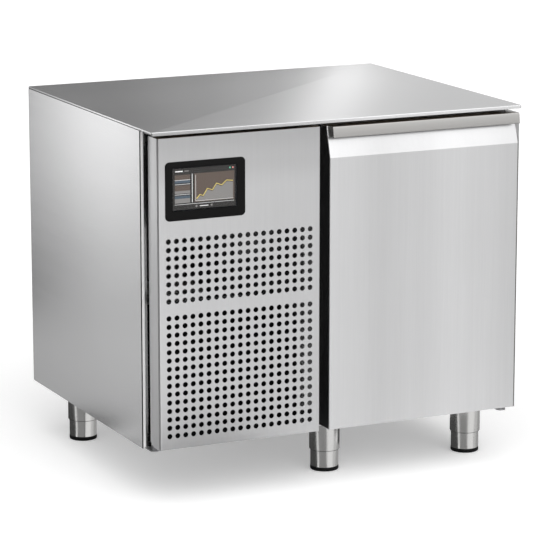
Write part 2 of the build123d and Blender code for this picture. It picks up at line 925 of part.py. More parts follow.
def make_door_gasket():
    """Magnetic seal round the pan's raised centre, welded square at its corners."""
    y = (front_y + door_depth, carcass_y - running_gap)
    loops = []
    for spread in (gasket_offset + gasket_width, gasket_offset):
        x = (chamber_x[0] - spread, chamber_x[1] + spread)
        z = (chamber_z[0] - spread, chamber_z[1] + spread)
        loops.append([(x[0], z[0]), (x[1], z[0]), (x[1], z[1]), (x[0], z[1])])
    return profile_y(loops[0], y, [loops[1]])


def make_handle_profile():
    """J-shaped profile along the door's top: flat web, leaning lip, hem at the lip's lower edge."""
    lip_y = front_y - handle_reach
    lip_z = handle_top - handle_lip_height
    line = [
        (lip_y + handle_hem, lip_z),
        (lip_y, lip_z),
        (front_y - handle_top_reach, handle_top),
        (front_y + door_depth, handle_top),
    ]
    outline = folded(line[::-1], handle_gauge)
    profile = profile_x(outline, (door_left + handle_inset, door_right - handle_inset))
    return profile - bar_z(door_pivot, pin_radius + 2.0, (door_top - 1.0, handle_top + 1.0))


# Hinge brackets

def bracket_plate(pivot, rear, z):
    """Flat bracket with a rounded nose round the pivot."""
    turns = [pi + pi * i / bracket_nose_sides for i in range(bracket_nose_sides + 1)]
    r = bracket_half_width
    nose = [(pivot[0] + r * cos(turn), pivot[1] + r * sin(turn)) for turn in turns]
    return profile_z(nose + [(pivot[0] + r, rear), (pivot[0] - r, rear)], z)


def hinge_brackets(pivot, top):
    """Lower and upper bracket of a front: plate and pin, with a collar under the front."""
    low_z = (floor_clearance - bracket_gauge, floor_clearance)
    high_z = (carcass_top - bracket_gauge, carcass_top)
    lower = bracket_plate(pivot, carcass_y + bracket_tail, low_z)
    lower += bar_z(pivot, collar_radius, (low_z[1], fronts_bottom - running_gap))
    lower += bar_z(pivot, pin_radius, (fronts_bottom - running_gap, fronts_bottom + bush_length - 2.0))
    upper = bracket_plate(pivot, carcass_y, high_z)
    upper += bar_z(pivot, pin_radius, (top - bush_length + 2.0, high_z[0]))
    return Compound([lower, upper])


# Service panel

def polygon_hole(x, z):
    """Outline of one perforation, as large in area as the round hole."""
    share = 2.0 * pi / (hole_sides * sin(2.0 * pi / hole_sides))
    reach = hole_diameter / 2 * sqrt(share)
    turns = [(i + 0.5) * 2.0 * pi / hole_sides for i in range(hole_sides)]
    return [(x + reach * cos(turn), z + reach * sin(turn)) for turn in turns]


def grille_holes():
    """Perforations in two fields, one blank row between them, centred across the panel."""
    columns = int((panel_width - 2.0 * grille_margin) / hole_pitch) + 1
    first_x = panel_left + (panel_width - (columns - 1) * hole_pitch) / 2
    first_z = fronts_bottom + grille_foot
    rows = int((fronts_top - grille_head - first_z) / hole_pitch) + 1
    places = [(i, j) for j in range(rows) if j != lower_field_rows for i in range(columns)]
    return [polygon_hole(first_x + i * hole_pitch, first_z + j * hole_pitch) for i, j in places]


def bezel_range(inset):
    """Width and height ranges of the touchscreen bezel, inset from its edge."""
    x = panel_left + bezel_left
    z = fronts_top - bezel_drop
    return (x + inset, x + bezel_width - inset), (z - bezel_height + inset, z - inset)


def make_panel_skin():
    """Perforated front sheet with bent edges, side returns, top and bottom folds."""
    top_fold = 40.0
    x = (panel_left, panel_right)
    z = (fronts_bottom, fronts_top)
    body = block(x, (front_y, front_y + panel_depth), z)
    upright = body.edges().filter_by(Axis.Z).sort_by(Axis.Y)[:2]
    body = fillet(upright, front_bend)
    flat_x = (x[0] + front_bend, x[1] - front_bend)
    hollow = block(
        (x[0] + skin_gauge, x[1] - skin_gauge),
        (front_y + skin_gauge, front_y + panel_depth + 1.0),
        (z[0] + skin_gauge, z[1] - skin_gauge),
    )
    inner = hollow.edges().filter_by(Axis.Z).sort_by(Axis.Y)[:2]
    hollow = fillet(inner, front_bend - skin_gauge)
    window = block(flat_x, (front_y - 1.0, front_y + skin_gauge), z)
    shell = body - hollow - window
    screen_x, screen_z = bezel_range(bezel_rim)
    cutout = [(screen_x[i], screen_z[j]) for i, j in ((0, 0), (1, 0), (1, 1), (0, 1))]
    outline = [(flat_x[i], z[j]) for i, j in ((0, 0), (1, 0), (1, 1), (0, 1))]
    sheet = profile_y(outline, (front_y, front_y + skin_gauge), grille_holes() + [cutout])
    skin = shell + sheet
    catch_y = (front_y + panel_depth - skin_gauge, front_y + panel_depth)
    skin += block((x[1] - panel_flange, x[1] - skin_gauge / 2), catch_y, z)
    for low, high in ((z[0] - 1.0, z[0] + skin_gauge), (z[1] - skin_gauge, z[1] + 1.0)):
        rear_strip = (front_y + top_fold + 18.0, front_y + panel_depth - skin_gauge)
        skin -= block((x[0] + 20.0, x[1] - panel_flange), rear_strip, (low, high))
    rear = front_y + panel_depth
    cut = [(rear, z[0]), (rear - return_cut_depth, z[0]), (rear, z[0] + return_cut_height)]
    skin -= profile_x(cut, (x[0] - 1.0, x[0] + skin_gauge))
    return skin - pin_holes(panel_pivot, fronts_top)


def make_panel_catches():
    """Magnetic catches on the chamber's face frame, facing the panel's rear flange."""
    x = (frame_x[0], frame_x[0] + panel_flange)
    y = (front_y + panel_depth + running_gap, carcass_y)
    length = 60.0
    inset = 110.0
    lows = (fronts_bottom + inset, fronts_top - inset - length)
    return Compound([block(x, y, (low, low + length)) for low in lows])


def bezel_plate(inset, y):
    """Rounded plate as large as the bezel, inset from its edge."""
    x, z = bezel_range(inset)
    centre = (sum(x) / 2, y[0], sum(z) / 2)
    plane = Plane(origin=centre, x_dir=(1, 0, 0), z_dir=(0, -1, 0))
    rounded = RectangleRounded(x[1] - x[0], z[1] - z[0], max(bezel_corner - inset, 1.0))
    return extrude(plane * rounded, y[1] - y[0], dir=(0, 1, 0))


def window_block(spread, y):
    """Block that fills the bezel's window, spread outwards, between two depths."""
    x, z = bezel_range(0.0)
    low_x = x[0] + window_left
    high_z = z[1] - window_top
    return block(
        (low_x - spread, low_x + window_width + spread),
        y,
        (high_z - window_height - spread, high_z + spread),
    )


def make_bezel():
    """Moulded bezel: rounded front plate over the cut-out, and a rim that passes through it."""
    plate = bezel_plate(0.0, (front_y - bezel_proud, front_y))
    x, z = bezel_range(bezel_rim + seat_gap)
    neck = block(x, (front_y, front_y + glass_thickness + 2.0), z)
    window = window_block(0.0, (front_y - bezel_proud - 1.0, front_y + 10.0))
    seat = window_block(3.0, (front_y - bezel_proud / 2, front_y + 10.0))
    return plate + neck - window - seat


def make_glass():
    """Touch glass seated behind the bezel's window."""
    face = front_y - bezel_proud / 2
    return window_block(3.0 - seat_gap, (face, face + glass_thickness))


def make_display():
    """Display module behind the glass."""
    face = front_y - bezel_proud / 2 + glass_thickness
    return window_block(3.0 - seat_gap, (face, face + display_thickness))


def make_controller():
    """Rear housing of the control unit, screwed to the bezel through the panel."""
    y0 = front_y + glass_thickness + 2.0
    x, z = bezel_range(bezel_rim + seat_gap)
    housing = block(x, (y0, y0 + controller_thickness), z)
    housing = chamfer(housing.faces().sort_by(Axis.Y)[-1].edges(), 3.0)
    face = front_y - bezel_proud / 2 + glass_thickness
    return housing - window_block(3.0, (y0 - 1.0, face + display_thickness))


# Feet

def foot_places():
    """Place of each foot, seen from the front."""
    front_row = front_y + foot_set_back
    rear_row = rear_y - foot_set_back
    return {
        "rear_left": (left + foot_inset_left, rear_row),
        "front_middle": (divider_x + foot_from_divider, front_row),
        "front_right": (right - foot_inset_right, front_row),
        "rear_right": (right - foot_inset_right, rear_row),
    }


def cup(place, radius, wall, z, floor_z):
    """Flat-sided cup: a tube between two heights, closed by a disc between two others."""
    tube = profile_z(
        round_points(place, radius, foot_sides),
        z,
        [round_points(place, radius - wall, foot_sides)],
    )
    return tube + bar_z(place, radius - wall / 2, floor_z, foot_sides)


def make_sleeve(place):
    """Fixed sleeve of a foot: tube closed at the top."""
    top = base_top - frame_gauge
    return cup(place, sleeve_radius, sleeve_wall, (sleeve_bottom, top), (top - bracket_gauge, top))


def make_leg(place):
    """Leg that screws in the sleeve: tube closed at the bottom."""
    low = (pad_height, pad_height + leg_wall)
    return cup(place, leg_radius, leg_wall, (pad_height, pad_height + leg_height), low)


def make_pad(place):
    """Plastic pad pressed on the bottom of a leg."""
    return bar_z(place, pad_radius, (0.0, pad_height), foot_sides)


# Every sub-part under its own name

parts = {
    "worktop": make_worktop(),
    "worktop_board": make_worktop_board(),
    "left_side_panel": make_left_side() + make_stile(),
    "right_side_panel": mirror(make_left_side(), about=Plane.YZ),
    "base_panel": make_base_panel(),
    "top_rail": make_rail((body_top - rail_height, body_top)),
    "bottom_rail": make_rail((base_top, base_top + rail_height)),
    "divider_panel": make_divider_panel(),
    "rear_panel": make_rear_panel(),
    "rear_grille": make_rear_grille(),
    "cable_gland": make_cable_gland(),
    "chamber_front_frame": make_front_frame(),
    "thermal_break": make_thermal_break(),
    "insulation_body": make_insulation_body(),
    "chamber_liner": make_chamber_liner(),
    "rack_posts": make_rack_posts(),
    "tray_runners": make_tray_runners(),
    "air_unit_cover": make_air_unit_cover(),
    "air_fan_motor": make_air_fan_motor(),
    "air_fan_blades": make_air_fan_blades(),
    "air_coil": make_air_coil(),
    "heater_rods": make_heater_rods(),
    "unit_tray": make_unit_tray(),
    "condenser_coil": make_condenser_coil(),
    "condenser_fan_shroud": make_fan_shroud(),
    "condenser_fan_motor": make_fan_motor(),
    "condenser_fan_blades": make_fan_blades(),
    "compressor": make_compressor(),
    "compressor_mounts": make_compressor_mounts(),
    "liquid_receiver": make_receiver(),
    "steam_generator": make_steam_generator(),
    "steam_pipe": make_steam_pipe(),
    "electrical_box": make_electrical_box(),
    "door_skin": make_door_skin(),
    "door_insulation": make_door_insulation(),
    "door_pan": make_door_pan(),
    "door_gasket": make_door_gasket(),
    "door_handle": make_handle_profile(),
    "door_hinge_bushes": make_bushes(door_pivot, door_top),
    "door_hinge_brackets": hinge_brackets(door_pivot, door_top),
    "panel_skin": make_panel_skin(),
    "panel_hinge_bushes": make_bushes(panel_pivot, fronts_top),
    "panel_hinge_brackets": hinge_brackets(panel_pivot, fronts_top),
    "panel_catches": make_panel_catches(),
    "screen_bezel": make_bezel(),
    "screen_glass": make_glass(),
    "display_module": make_display(),
    "controller_housing": make_controller(),
}
for name, place in foot_places().items():
    parts["foot_leg_" + name] = make_leg(place)
    parts["foot_pad_" + name] = make_pad(place)
parts["foot_sleeves"] = Compound([make_sleeve(place) for place in foot_places().values()])

os.makedirs("parts", exist_ok=True)
for name, shape in parts.items():
    export_step(shape, "parts/" + name + ".step")
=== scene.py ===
"""A two-section stainless proofing counter, dressed on its CAD frame. Metres: X right, Y rear, Z up."""

from math import cos, pi, sin

import bmesh
import bpy
from mathutils import Matrix, Vector


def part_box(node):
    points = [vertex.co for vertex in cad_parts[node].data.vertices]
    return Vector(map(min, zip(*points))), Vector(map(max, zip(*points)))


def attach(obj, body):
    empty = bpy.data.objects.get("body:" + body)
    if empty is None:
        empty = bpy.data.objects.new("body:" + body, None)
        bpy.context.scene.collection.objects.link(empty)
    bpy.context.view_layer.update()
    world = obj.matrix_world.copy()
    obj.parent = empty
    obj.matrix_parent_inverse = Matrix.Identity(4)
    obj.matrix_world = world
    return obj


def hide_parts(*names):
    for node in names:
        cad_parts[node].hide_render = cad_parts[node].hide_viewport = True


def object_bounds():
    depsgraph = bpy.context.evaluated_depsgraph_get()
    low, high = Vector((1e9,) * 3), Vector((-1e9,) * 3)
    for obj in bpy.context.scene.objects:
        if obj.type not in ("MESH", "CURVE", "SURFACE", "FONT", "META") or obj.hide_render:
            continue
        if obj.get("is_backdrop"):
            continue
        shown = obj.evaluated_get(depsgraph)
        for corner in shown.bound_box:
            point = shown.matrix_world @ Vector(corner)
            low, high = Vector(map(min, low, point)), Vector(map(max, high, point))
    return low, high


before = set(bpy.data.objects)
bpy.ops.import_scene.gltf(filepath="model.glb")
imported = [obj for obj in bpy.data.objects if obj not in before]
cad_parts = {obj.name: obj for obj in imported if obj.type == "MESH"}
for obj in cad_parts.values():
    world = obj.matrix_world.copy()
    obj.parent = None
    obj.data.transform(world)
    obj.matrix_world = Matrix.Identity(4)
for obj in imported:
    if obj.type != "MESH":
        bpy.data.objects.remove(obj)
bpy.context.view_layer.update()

scene = bpy.context.scene
scene.view_settings.view_transform = "Standard"

# Camera: it stands to the left of the counter a little above it, as for a catalogue picture taken with a
# long lens, so that upright edges stay almost parallel.
camera_place = (-2.8137, -5.9618, 1.8463)
camera_aim = (0.41841, 0.88306, -0.21243)
camera_heading = -154.7


def placed(name, data):
    """A new object in the scene."""
    thing = bpy.data.objects.new(name, data)
    scene.collection.objects.link(thing)
    return thing


camera = placed("camera", bpy.data.cameras.new("camera"))
camera.location = camera_place
camera.rotation_mode = "QUATERNION"
camera.rotation_quaternion = Vector(camera_aim).to_track_quat("-Z", "Y")
camera.data.sensor_width = 36.0
camera.data.lens = 187.4
camera.data.clip_end = 200.0
scene.camera = camera

# Studio: a pale floor that runs out of view and a white surround. The surround is white for the camera, for
# gloss and for glass, and dimmer as a lamp, so that the floor keeps the counter's shadow.
surround_strength = 0.40
floor_lift = 0.27
floor_reach = 40
floor_behind = 60
white = (1.0, 1.0, 1.0, 1.0)


def feed(tree, node, feeds):
    """Sets inputs of a node: to a value, to what another node gives out, or to a list of such outputs."""
    for key, entry in feeds.items():
        for value in entry if isinstance(entry, list) else [entry]:
            if isinstance(value, bpy.types.NodeSocket):
                tree.links.new(value, node.inputs[key])
            else:
                node.inputs[key].default_value = value


def wired(tree, kind, feeds=None, **settings):
    """A new node of a tree, with its settings and with what feeds its inputs."""
    node = tree.nodes.new(kind)
    for name, value in settings.items():
        setattr(node, name, value)
    feed(tree, node, feeds or {})
    return node


def worked_out(tree, operation, first, second):
    """Two values of a tree put together."""
    return wired(tree, "ShaderNodeMath", {0: first, 1: second}, operation=operation).outputs[0]


def new_finish(name):
    """An empty finish: its material, node tree and shader."""
    finish = bpy.data.materials.new(name)
    finish.use_nodes = True
    return finish, finish.node_tree, finish.node_tree.nodes["Principled BSDF"]


world = bpy.data.worlds.new("studio_surround")
scene.world = world
world.use_nodes = True
tree = world.node_tree
rays = wired(tree, "ShaderNodeLightPath").outputs
seen = worked_out(tree, "MAXIMUM", rays["Is Camera Ray"], rays["Is Glossy Ray"])
seen = worked_out(tree, "MAXIMUM", seen, rays["Is Transmission Ray"])
strength = wired(tree, "ShaderNodeMapRange", {"Value": seen, "To Min": surround_strength, "To Max": 1.0})
feed(tree, tree.nodes["Background"], {"Color": white, "Strength": strength.outputs["Result"]})

floor_mesh = bpy.data.meshes.new("studio_floor")
floor_mesh.from_pydata([(-floor_reach, -floor_reach, 0), (floor_reach, -floor_reach, 0),
                        (floor_reach, floor_behind, 0), (-floor_reach, floor_behind, 0)], [], [(0, 1, 2, 3)])
floor = placed("studio_floor", floor_mesh)
floor_finish, tree, shader = new_finish("pale_floor")
rays = wired(tree, "ShaderNodeLightPath").outputs
feed(tree, shader, {
    "Base Color": (0.93, 0.93, 0.93, 1.0), "Roughness": 0.9, "Specular IOR Level": 0.0,
    "Emission Color": white,
    "Emission Strength": worked_out(tree, "MULTIPLY", rays["Is Camera Ray"], floor_lift),
})
floor_mesh.materials.append(floor_finish)
floor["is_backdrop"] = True

for name, power, spread, towards in (
    ("key_lamp", 1.70, 1.5, (0.14, 0.70, -1.0)),
    ("fill_lamp", 0.55, 1.2, (0.22, 0.90, -0.60)),
):
    lamp = bpy.data.lights.new(name, "SUN")
    lamp.energy = power
    lamp.angle = spread
    holder = placed(name, lamp)
    holder.rotation_euler = Vector(towards).to_track_quat("-Z", "Y").to_euler()

# Cards: sheets of grey and white card stand round the counter out of the picture, as a studio sets them for
# polished metal. Only gloss shows them: they give the sheets their soft bands and the bends their dark lines.


def product(tree, *factors):
    """Several values of a tree multiplied."""
    result = factors[0]
    for factor in factors[1:]:
        result = worked_out(tree, "MULTIPLY", result, factor)
    return result


def soft_bands(tree, axis, stops):
    """Soft light and dark bands across a sheet, given as places along an axis and factors up to 2."""
    start, length = stops[0][0], stops[-1][0] - stops[0][0]
    place = wired(tree, "ShaderNodeTexCoord")
    split = wired(tree, "ShaderNodeSeparateXYZ", {"Vector": place.outputs["Object"]})
    span = wired(tree, "ShaderNodeMapRange",
                 {"Value": split.outputs[axis], "From Min": start, "From Max": stops[-1][0]})
    ramp = wired(tree, "ShaderNodeValToRGB", {"Fac": span.outputs["Result"]})
    ramp.color_ramp.interpolation = "EASE"
    elements = ramp.color_ramp.elements
    for i, (where, factor) in enumerate(stops):
        position = (where - start) / length
        if 0 < i < len(stops) - 1:
            stop = elements.new(position)
        else:
            stop = elements[0 if i == 0 else len(elements) - 1]
        stop.position = position
        stop.color = (factor / 2, factor / 2, factor / 2, 1.0)
    return worked_out(tree, "MULTIPLY", ramp.outputs["Color"], 2.0)


def gloss_sheet(name, corners, faces, light):
    """A shining sheet that only gloss shows, its light worked out by a function of its tree."""
    mesh = bpy.data.meshes.new(name)
    mesh.from_pydata(corners, [], faces)
    finish, tree, shader = new_finish(name)
    tree.nodes.remove(shader)
    glow = wired(tree, "ShaderNodeEmission", {"Strength": light(tree)})
    feed(tree, tree.nodes["Material Output"], {"Surface": glow.outputs[0]})
    mesh.materials.append(finish)
    card = placed(name, mesh)
    card.visible_camera = False
    card.visible_diffuse = False
    card.visible_shadow = False
    card.visible_transmission = False
    card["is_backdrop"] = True


def upright(start, end, low, high):
    """Corners of an upright card between two places on the floor, from one height to another."""
    return [(*start, low), (*end, low), (*end, high), (*start, high)]


even = ("Z", ((0.0, 1.0), (3.0, 1.0)))
for name, corners, first, second in (
    ("card_behind_top", upright((-0.35, 1.6), (2.2, 1.6), 0.0, 2.4),
     ("X", ((-0.35, 0.25), (0.20, 0.25), (0.50, 0.355), (0.70, 0.45), (0.775, 0.48), (0.86, 0.57),
            (0.94, 0.80), (1.01, 1.16), (1.08, 1.20), (1.15, 0.97), (1.23, 0.79), (1.45, 0.70), (2.2, 0.74))),
     even),
    ("card_behind_side", upright((-1.55, 1.6), (-0.35, 1.6), 0.0, 2.4),
     ("X", ((-1.55, 2.0), (-1.34, 1.93), (-1.24, 1.62), (-1.14, 1.20), (-1.05, 0.93), (-1.0, 0.79),
            (-0.9, 0.53), (-0.75, 0.33), (-0.35, 0.25))),
     ("Z", ((0.0, 0.46), (0.12, 0.46), (0.27, 0.66), (0.42, 0.86), (0.55, 0.97), (0.9, 1.06), (2.4, 0.95)))),
    ("card_on_floor", [(-1.8, 0.1, 0.002), (-0.3, 0.1, 0.002), (-0.3, 1.6, 0.002), (-1.8, 1.6, 0.002)],
     ("X", ((-1.8, 1.0), (-1.2, 0.90), (-0.9, 0.70), (-0.6, 0.55), (-0.3, 0.35))),
     ("Y", ((0.1, 0.98), (0.5, 0.92), (1.0, 0.85), (1.6, 0.62)))),
    ("card_left", upright((-3.0, -4.5), (-3.0, 3.2), 0.0, 3.0),
     ("Y", ((-4.5, 0.20), (-1.6, 0.20), (-1.05, 0.24), (-0.78, 1.3), (-0.62, 1.3), (-0.4, 0.12),
            (3.2, 0.10))),
     even),
    ("card_front_left", upright((-3.0, -4.5), (-1.1, -4.5), 0.0, 3.0),
     ("X", ((-3.0, 0.20), (-1.5, 0.22), (-1.1, 0.6))), even),
    ("card_right", upright((3.2, -1.8), (3.2, 3.2), 0.0, 3.0),
     ("Y", ((-1.8, 0.75), (-1.0, 0.45), (0.2, 0.16), (3.2, 0.12))), even),
    ("card_front_high", upright((0.5, -4.6), (4.6, -2.75), 1.7, 3.6),
     ("X", ((0.5, 1.38), (2.0, 1.52), (4.6, 1.85))), even),
):
    gloss_sheet(name, corners, [(0, 1, 2, 3)], lambda tree: product(
        tree, soft_bands(tree, *first), soft_bands(tree, *second)))

# Floor bands: bends and round feet mirror the floor round them. Thin fans lie on the floor for gloss alone,
# each between two headings, and give these rounds their dark and light upright bands.
fan_steps = 12
fan_lift = 0.0003
fan_start = 0.001
foot_girth = 0.034


def floor_fan(name, centre, sweep, reach, level, height=0.003, girth=0.0):
    """A sheet on the floor spread between two headings in degrees, as a round of some girth mirrors it."""
    corners = []
    for radius in reach:
        for i in range(fan_steps + 1):
            heading = sweep[0] + (sweep[1] - sweep[0]) * i / fan_steps
            swing = (heading - camera_heading + 180) % 360 - 180
            facing = (camera_heading + swing / 2) * pi / 180
            turn = heading * pi / 180
            corners.append((centre[0] + girth * sin(facing) + radius * sin(turn),
                            centre[1] + girth * cos(facing) + radius * cos(turn), height))
    row = fan_steps + 1
    faces = [(i, i + 1, row + 1 + i, row + i) for i in range(fan_steps)]
    gloss_sheet(name, corners, faces, lambda tree: level)


floor_fan("fan_left", (-0.45, -0.36), (-90.0, -40.0), (0.10, 3.3), 0.10)
floor_fan("fan_front_left", (-0.45, -0.36), (-165.0, -105.0), (0.10, 4.2), 0.17)
floor_fan("fan_right", (0.455, -0.36), (33.0, 128.0), (0.08, 2.7), 0.08)
floor_fan("fan_edge", (-0.45, -0.37), (163.0, 179.0), (0.4, 3.9), 1.5)
for name, spot, near, far, height in (
    ("rear_left", (-0.3825, 0.2468), 0.30, 0.30, 0.0036),
    ("front_middle", (0.025, -0.2373), 0.62, 0.62, 0.0036),
    ("front_right", (0.3955, -0.2373), 0.22, 0.60, 0.0056),
):
    for k, (sweep, level, reach) in enumerate((
        ((-88.0, 25.0), 0.07, near), ((-104.0, -88.0), 1.0, near), ((-172.0, -104.0), 0.30, near),
        ((90.0, 125.0), 0.65, far), ((25.0, 90.0), 0.42, far), ((125.0, 180.0), 0.95, far),
    )):
        floor_fan("fan_%s_%d" % (name, k), spot, sweep, (fan_start, reach), level, height + fan_lift * k,
                  foot_girth)

# Worktop: one sheet of stainless steel, its four edges folded down over the stiffening board and its corners
# welded and ground round. It lies on the body and is fixed to it from below. Its grain runs along its length.
worktop_gauge = 0.0012
worktop_corner = 0.003
least_corner = 0.0012
edge_round = 0.0016
fold_front = 0.008
fold_side = 0.0036


def new_piece(name, vertices, faces, finish, slot_name, smooth_below=0.7):
    """A piece from plain lists, with flat faces kept flat and shallow bends shaded smooth."""
    mesh = bpy.data.meshes.new(name)
    mesh.from_pydata([tuple(v) for v in vertices], [], faces)
    mesh.validate()
    mesh.materials.append(finish)
    mesh.shade_smooth()
    mesh.set_sharp_from_angle(angle=smooth_below)
    piece = placed(name, mesh)
    return piece


def refinish(piece, finish, chosen):
    """Gives the faces that a test picks another finish."""
    piece.data.materials.append(finish)
    for face in piece.data.polygons:
        if chosen(face):
            face.material_index = len(piece.data.materials) - 1


def skinned(loops, closed=False):
    """Vertices and faces of a skin over loops of points, closed at both ends or round into itself."""
    count = len(loops[0])
    vertices = [point for loop in loops for point in loop]
    faces = []
    for row in list(range(len(loops) - 1)) + ([-1] if closed else []):
        low = (row % len(loops)) * count
        high = ((row + 1) % len(loops)) * count
        for i in range(count):
            j = (i + 1) % count
            faces.append((low + i, low + j, high + j, high + i))
    if not closed:
        faces.append(tuple(range(count))[::-1])
        faces.append(tuple(range(len(vertices) - count, len(vertices))))
    return vertices, faces


def rounded_loop(x, y, z, corner, steps=6):
    """Rectangle with round corners lying flat, counterclockwise seen from above."""
    centres = ((x[1] - corner, y[0] + corner), (x[1] - corner, y[1] - corner),
               (x[0] + corner, y[1] - corner), (x[0] + corner, y[0] + corner))
    loop = []
    for k, (cx, cy) in enumerate(centres):
        for i in range(steps + 1):
            turn = -pi / 2 + (k + i / steps) * pi / 2
            loop.append((cx + corner * cos(turn), cy + corner * sin(turn), z))
    return loop


def surface_noise(tree, stretch, detail):
    """Noise on the piece's own coordinates, stretched by a factor for each axis."""
    place = wired(tree, "ShaderNodeTexCoord")
    mapping = wired(tree, "ShaderNodeMapping", {"Vector": place.outputs["Object"], "Scale": tuple(stretch)})
    return wired(tree, "ShaderNodeTexNoise", {
        "Vector": mapping.outputs["Vector"], "Scale": 1.0, "Detail": detail, "Roughness": 0.55,
    }).outputs["Fac"]


def spread_over(tree, value, low, high):
    """The middle of a noise spread between two values."""
    return wired(tree, "ShaderNodeMapRange", {
        "Value": value, "From Min": 0.3, "From Max": 0.7, "To Min": low, "To Max": high,
    }).outputs["Result"]


def tinted(tree, colour, factor):
    """A colour made darker or lighter by a factor."""
    scaled = wired(tree, "ShaderNodeVectorMath", {0: colour, "Scale": factor}, operation="SCALE")
    return scaled.outputs["Vector"]


def bumped(tree, height, strength, distance):
    """The surface's direction, raised and lowered by a pattern."""
    return wired(tree, "ShaderNodeBump", {
        "Strength": strength, "Distance": distance, "Height": height,
    }).outputs["Normal"]


def brushed_steel(name, grain, colour=(0.66, 0.66, 0.665), rough=0.30, bands=None, streak=0.012):
    """Scotch-brushed stainless sheet, its grain along one axis, with a slight random unevenness of tone and,
    where bands are given, painted reflection bands in its colour.
    """
    finish, tree, shader = new_finish(name)
    fine, broad = [1400.0] * 3, [110.0] * 3
    fine["XYZ".index(grain)] = 9.0
    broad["XYZ".index(grain)] = 1.2
    hairs = surface_noise(tree, fine, 2.0)
    streaks = surface_noise(tree, broad, 4.0)
    clouds = surface_noise(tree, (2.6,) * 3, 2.0)
    factors = [
        spread_over(tree, streaks, 1.0 - streak, 1.0 + streak),
        spread_over(tree, hairs, 0.98, 1.02),
        spread_over(tree, clouds, 0.985, 1.015),
    ]
    # Bands given here are painted reflection: soft light and dark bands in the base colour, standing in for
    # brighter and darker surroundings mirrored in the sheet.
    if bands:
        factors.append(soft_bands(tree, *bands))
    feed(tree, shader, {
        "Base Color": tinted(tree, colour, product(tree, *factors)), "Metallic": 1.0,
        "Roughness": spread_over(tree, streaks, rough - streak, rough + streak),
        "Normal": bumped(tree, hairs, 0.05, 0.0002),
    })
    return finish


low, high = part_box("worktop")
x, y, z = zip(low, high)
worktop_top = z[1]
side_span = (y[0] + worktop_corner, y[1] - worktop_corner)
loops = []
for inset, level in (
    (worktop_gauge, z[1] - worktop_gauge),
    (worktop_gauge, z[0]),
    (0.0, z[0]),
    (0.0, z[1] - edge_round),
    (edge_round * 0.13, z[1] - edge_round * 0.5),
    (edge_round * 0.5, z[1] - edge_round * 0.13),
    (edge_round, z[1]),
):
    loop = rounded_loop((x[0] + inset, x[1] - inset), (y[0] + inset, y[1] - inset), level,
                        max(worktop_corner - inset, least_corner))
    if level == z[0]:
        loop = [(a, b, z[1] - (fold_side if side_span[0] <= b <= side_span[1] else fold_front))
                for a, b, c in loop]
    loops.append(loop)
worktop_steel = brushed_steel("worktop_steel", "X", rough=0.26)
# The worktop's front edge gets painted reflection bands along its length, dark at the left and bright at the
# right.
edge_steel = brushed_steel(
    "worktop_edge_painted_reflection", "X", rough=0.26,
    bands=("X", ((x[0], 0.66), (x[0] + 0.20, 0.68), (x[0] + 0.38, 0.86), (x[0] + 0.55, 1.12), (x[1], 1.1))),
)
worktop = new_piece("worktop_sheet", *skinned(loops), worktop_steel, "stainless")
refinish(worktop, edge_steel, lambda face: face.normal.y < -0.9)
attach(worktop, "cabinet")
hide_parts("worktop")

# Stiffening board: birch ply glued inside the folded worktop, its ends faced with the same steel. Only its
# underside and edges show, between the front rail and the worktop's fold.
board_inset = 0.008
board_corner = 0.003
board_ply, tree, shader = new_finish("birch_ply")
grain = surface_noise(tree, (4.0, 140.0, 900.0), 4.0)
feed(tree, shader, {
    "Base Color": tinted(tree, (0.50, 0.37, 0.23), spread_over(tree, grain, 0.75, 1.15)), "Roughness": 0.75,
})
low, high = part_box("worktop_board")
loops = [rounded_loop((low.x + board_inset, high.x - board_inset), (low.y, high.y), level, board_corner)
         for level in (low.z, high.z)]
board = new_piece("worktop_ply", *skinned(loops), board_ply, "board")
refinish(board, worktop_steel, lambda face: abs(face.normal.x) > 0.3)
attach(board, "cabinet")
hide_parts("worktop_board")

# Side panels: folded stainless sheets with a narrow front lip turned back on itself, a flange at the top and
# one at the rear, spot-welded to the base. The brush marks run from front to rear.
side_gauge = 0.001
side_bend = 0.0024
lip_depth = 0.0092
hem_depth = 0.0062
stile_reach = 0.0165
rear_flange = 0.025
rear_wrap = 0.004
flange_bend = 0.0012
top_seam = 0.0018
seam_depth = 0.008
flange_drop = 0.010
flange_reach = 0.012
side_steel = brushed_steel("side_steel", "Y", rough=0.26)
# Near-black steel for the front bend of the left side sheet: a painted dark reflection line along the bend.
bend_painted_dark_reflection = brushed_steel("bend_painted_dark_reflection", "Y", colour=(0.05, 0.05, 0.05), rough=0.35)
lip_satin, tree, shader = new_finish("lip_satin")
sheen = surface_noise(tree, (300.0, 300.0, 6.0), 2.0)
feed(tree, shader, {
    "Base Color": tinted(tree, (0.93, 0.93, 0.93), spread_over(tree, sheen, 0.97, 1.03)),
    "Metallic": 0.25, "Roughness": 0.55,
})


def bent_line(points, radius, steps=5):
    """A line in a plane with its inner corners rounded by bends of some radius."""
    line = [points[0]]
    for before, corner, after in zip(points, points[1:], points[2:]):
        a, b, c = Vector(before), Vector(corner), Vector(after)
        first = (a - b).normalized()
        second = (c - b).normalized()
        half = first.angle(second) / 2
        reach = radius / (sin(half) / cos(half))
        centre = b + (first + second).normalized() * (radius / sin(half))
        start = b + first * reach - centre
        turn = (pi - 2 * half) * (1 if first.cross(second) < 0 else -1)
        for i in range(steps + 1):
            angle = turn * i / steps
            line.append((centre.x + start.x * cos(angle) - start.y * sin(angle),
                         centre.y + start.x * sin(angle) + start.y * cos(angle)))
    return line + [points[-1]]


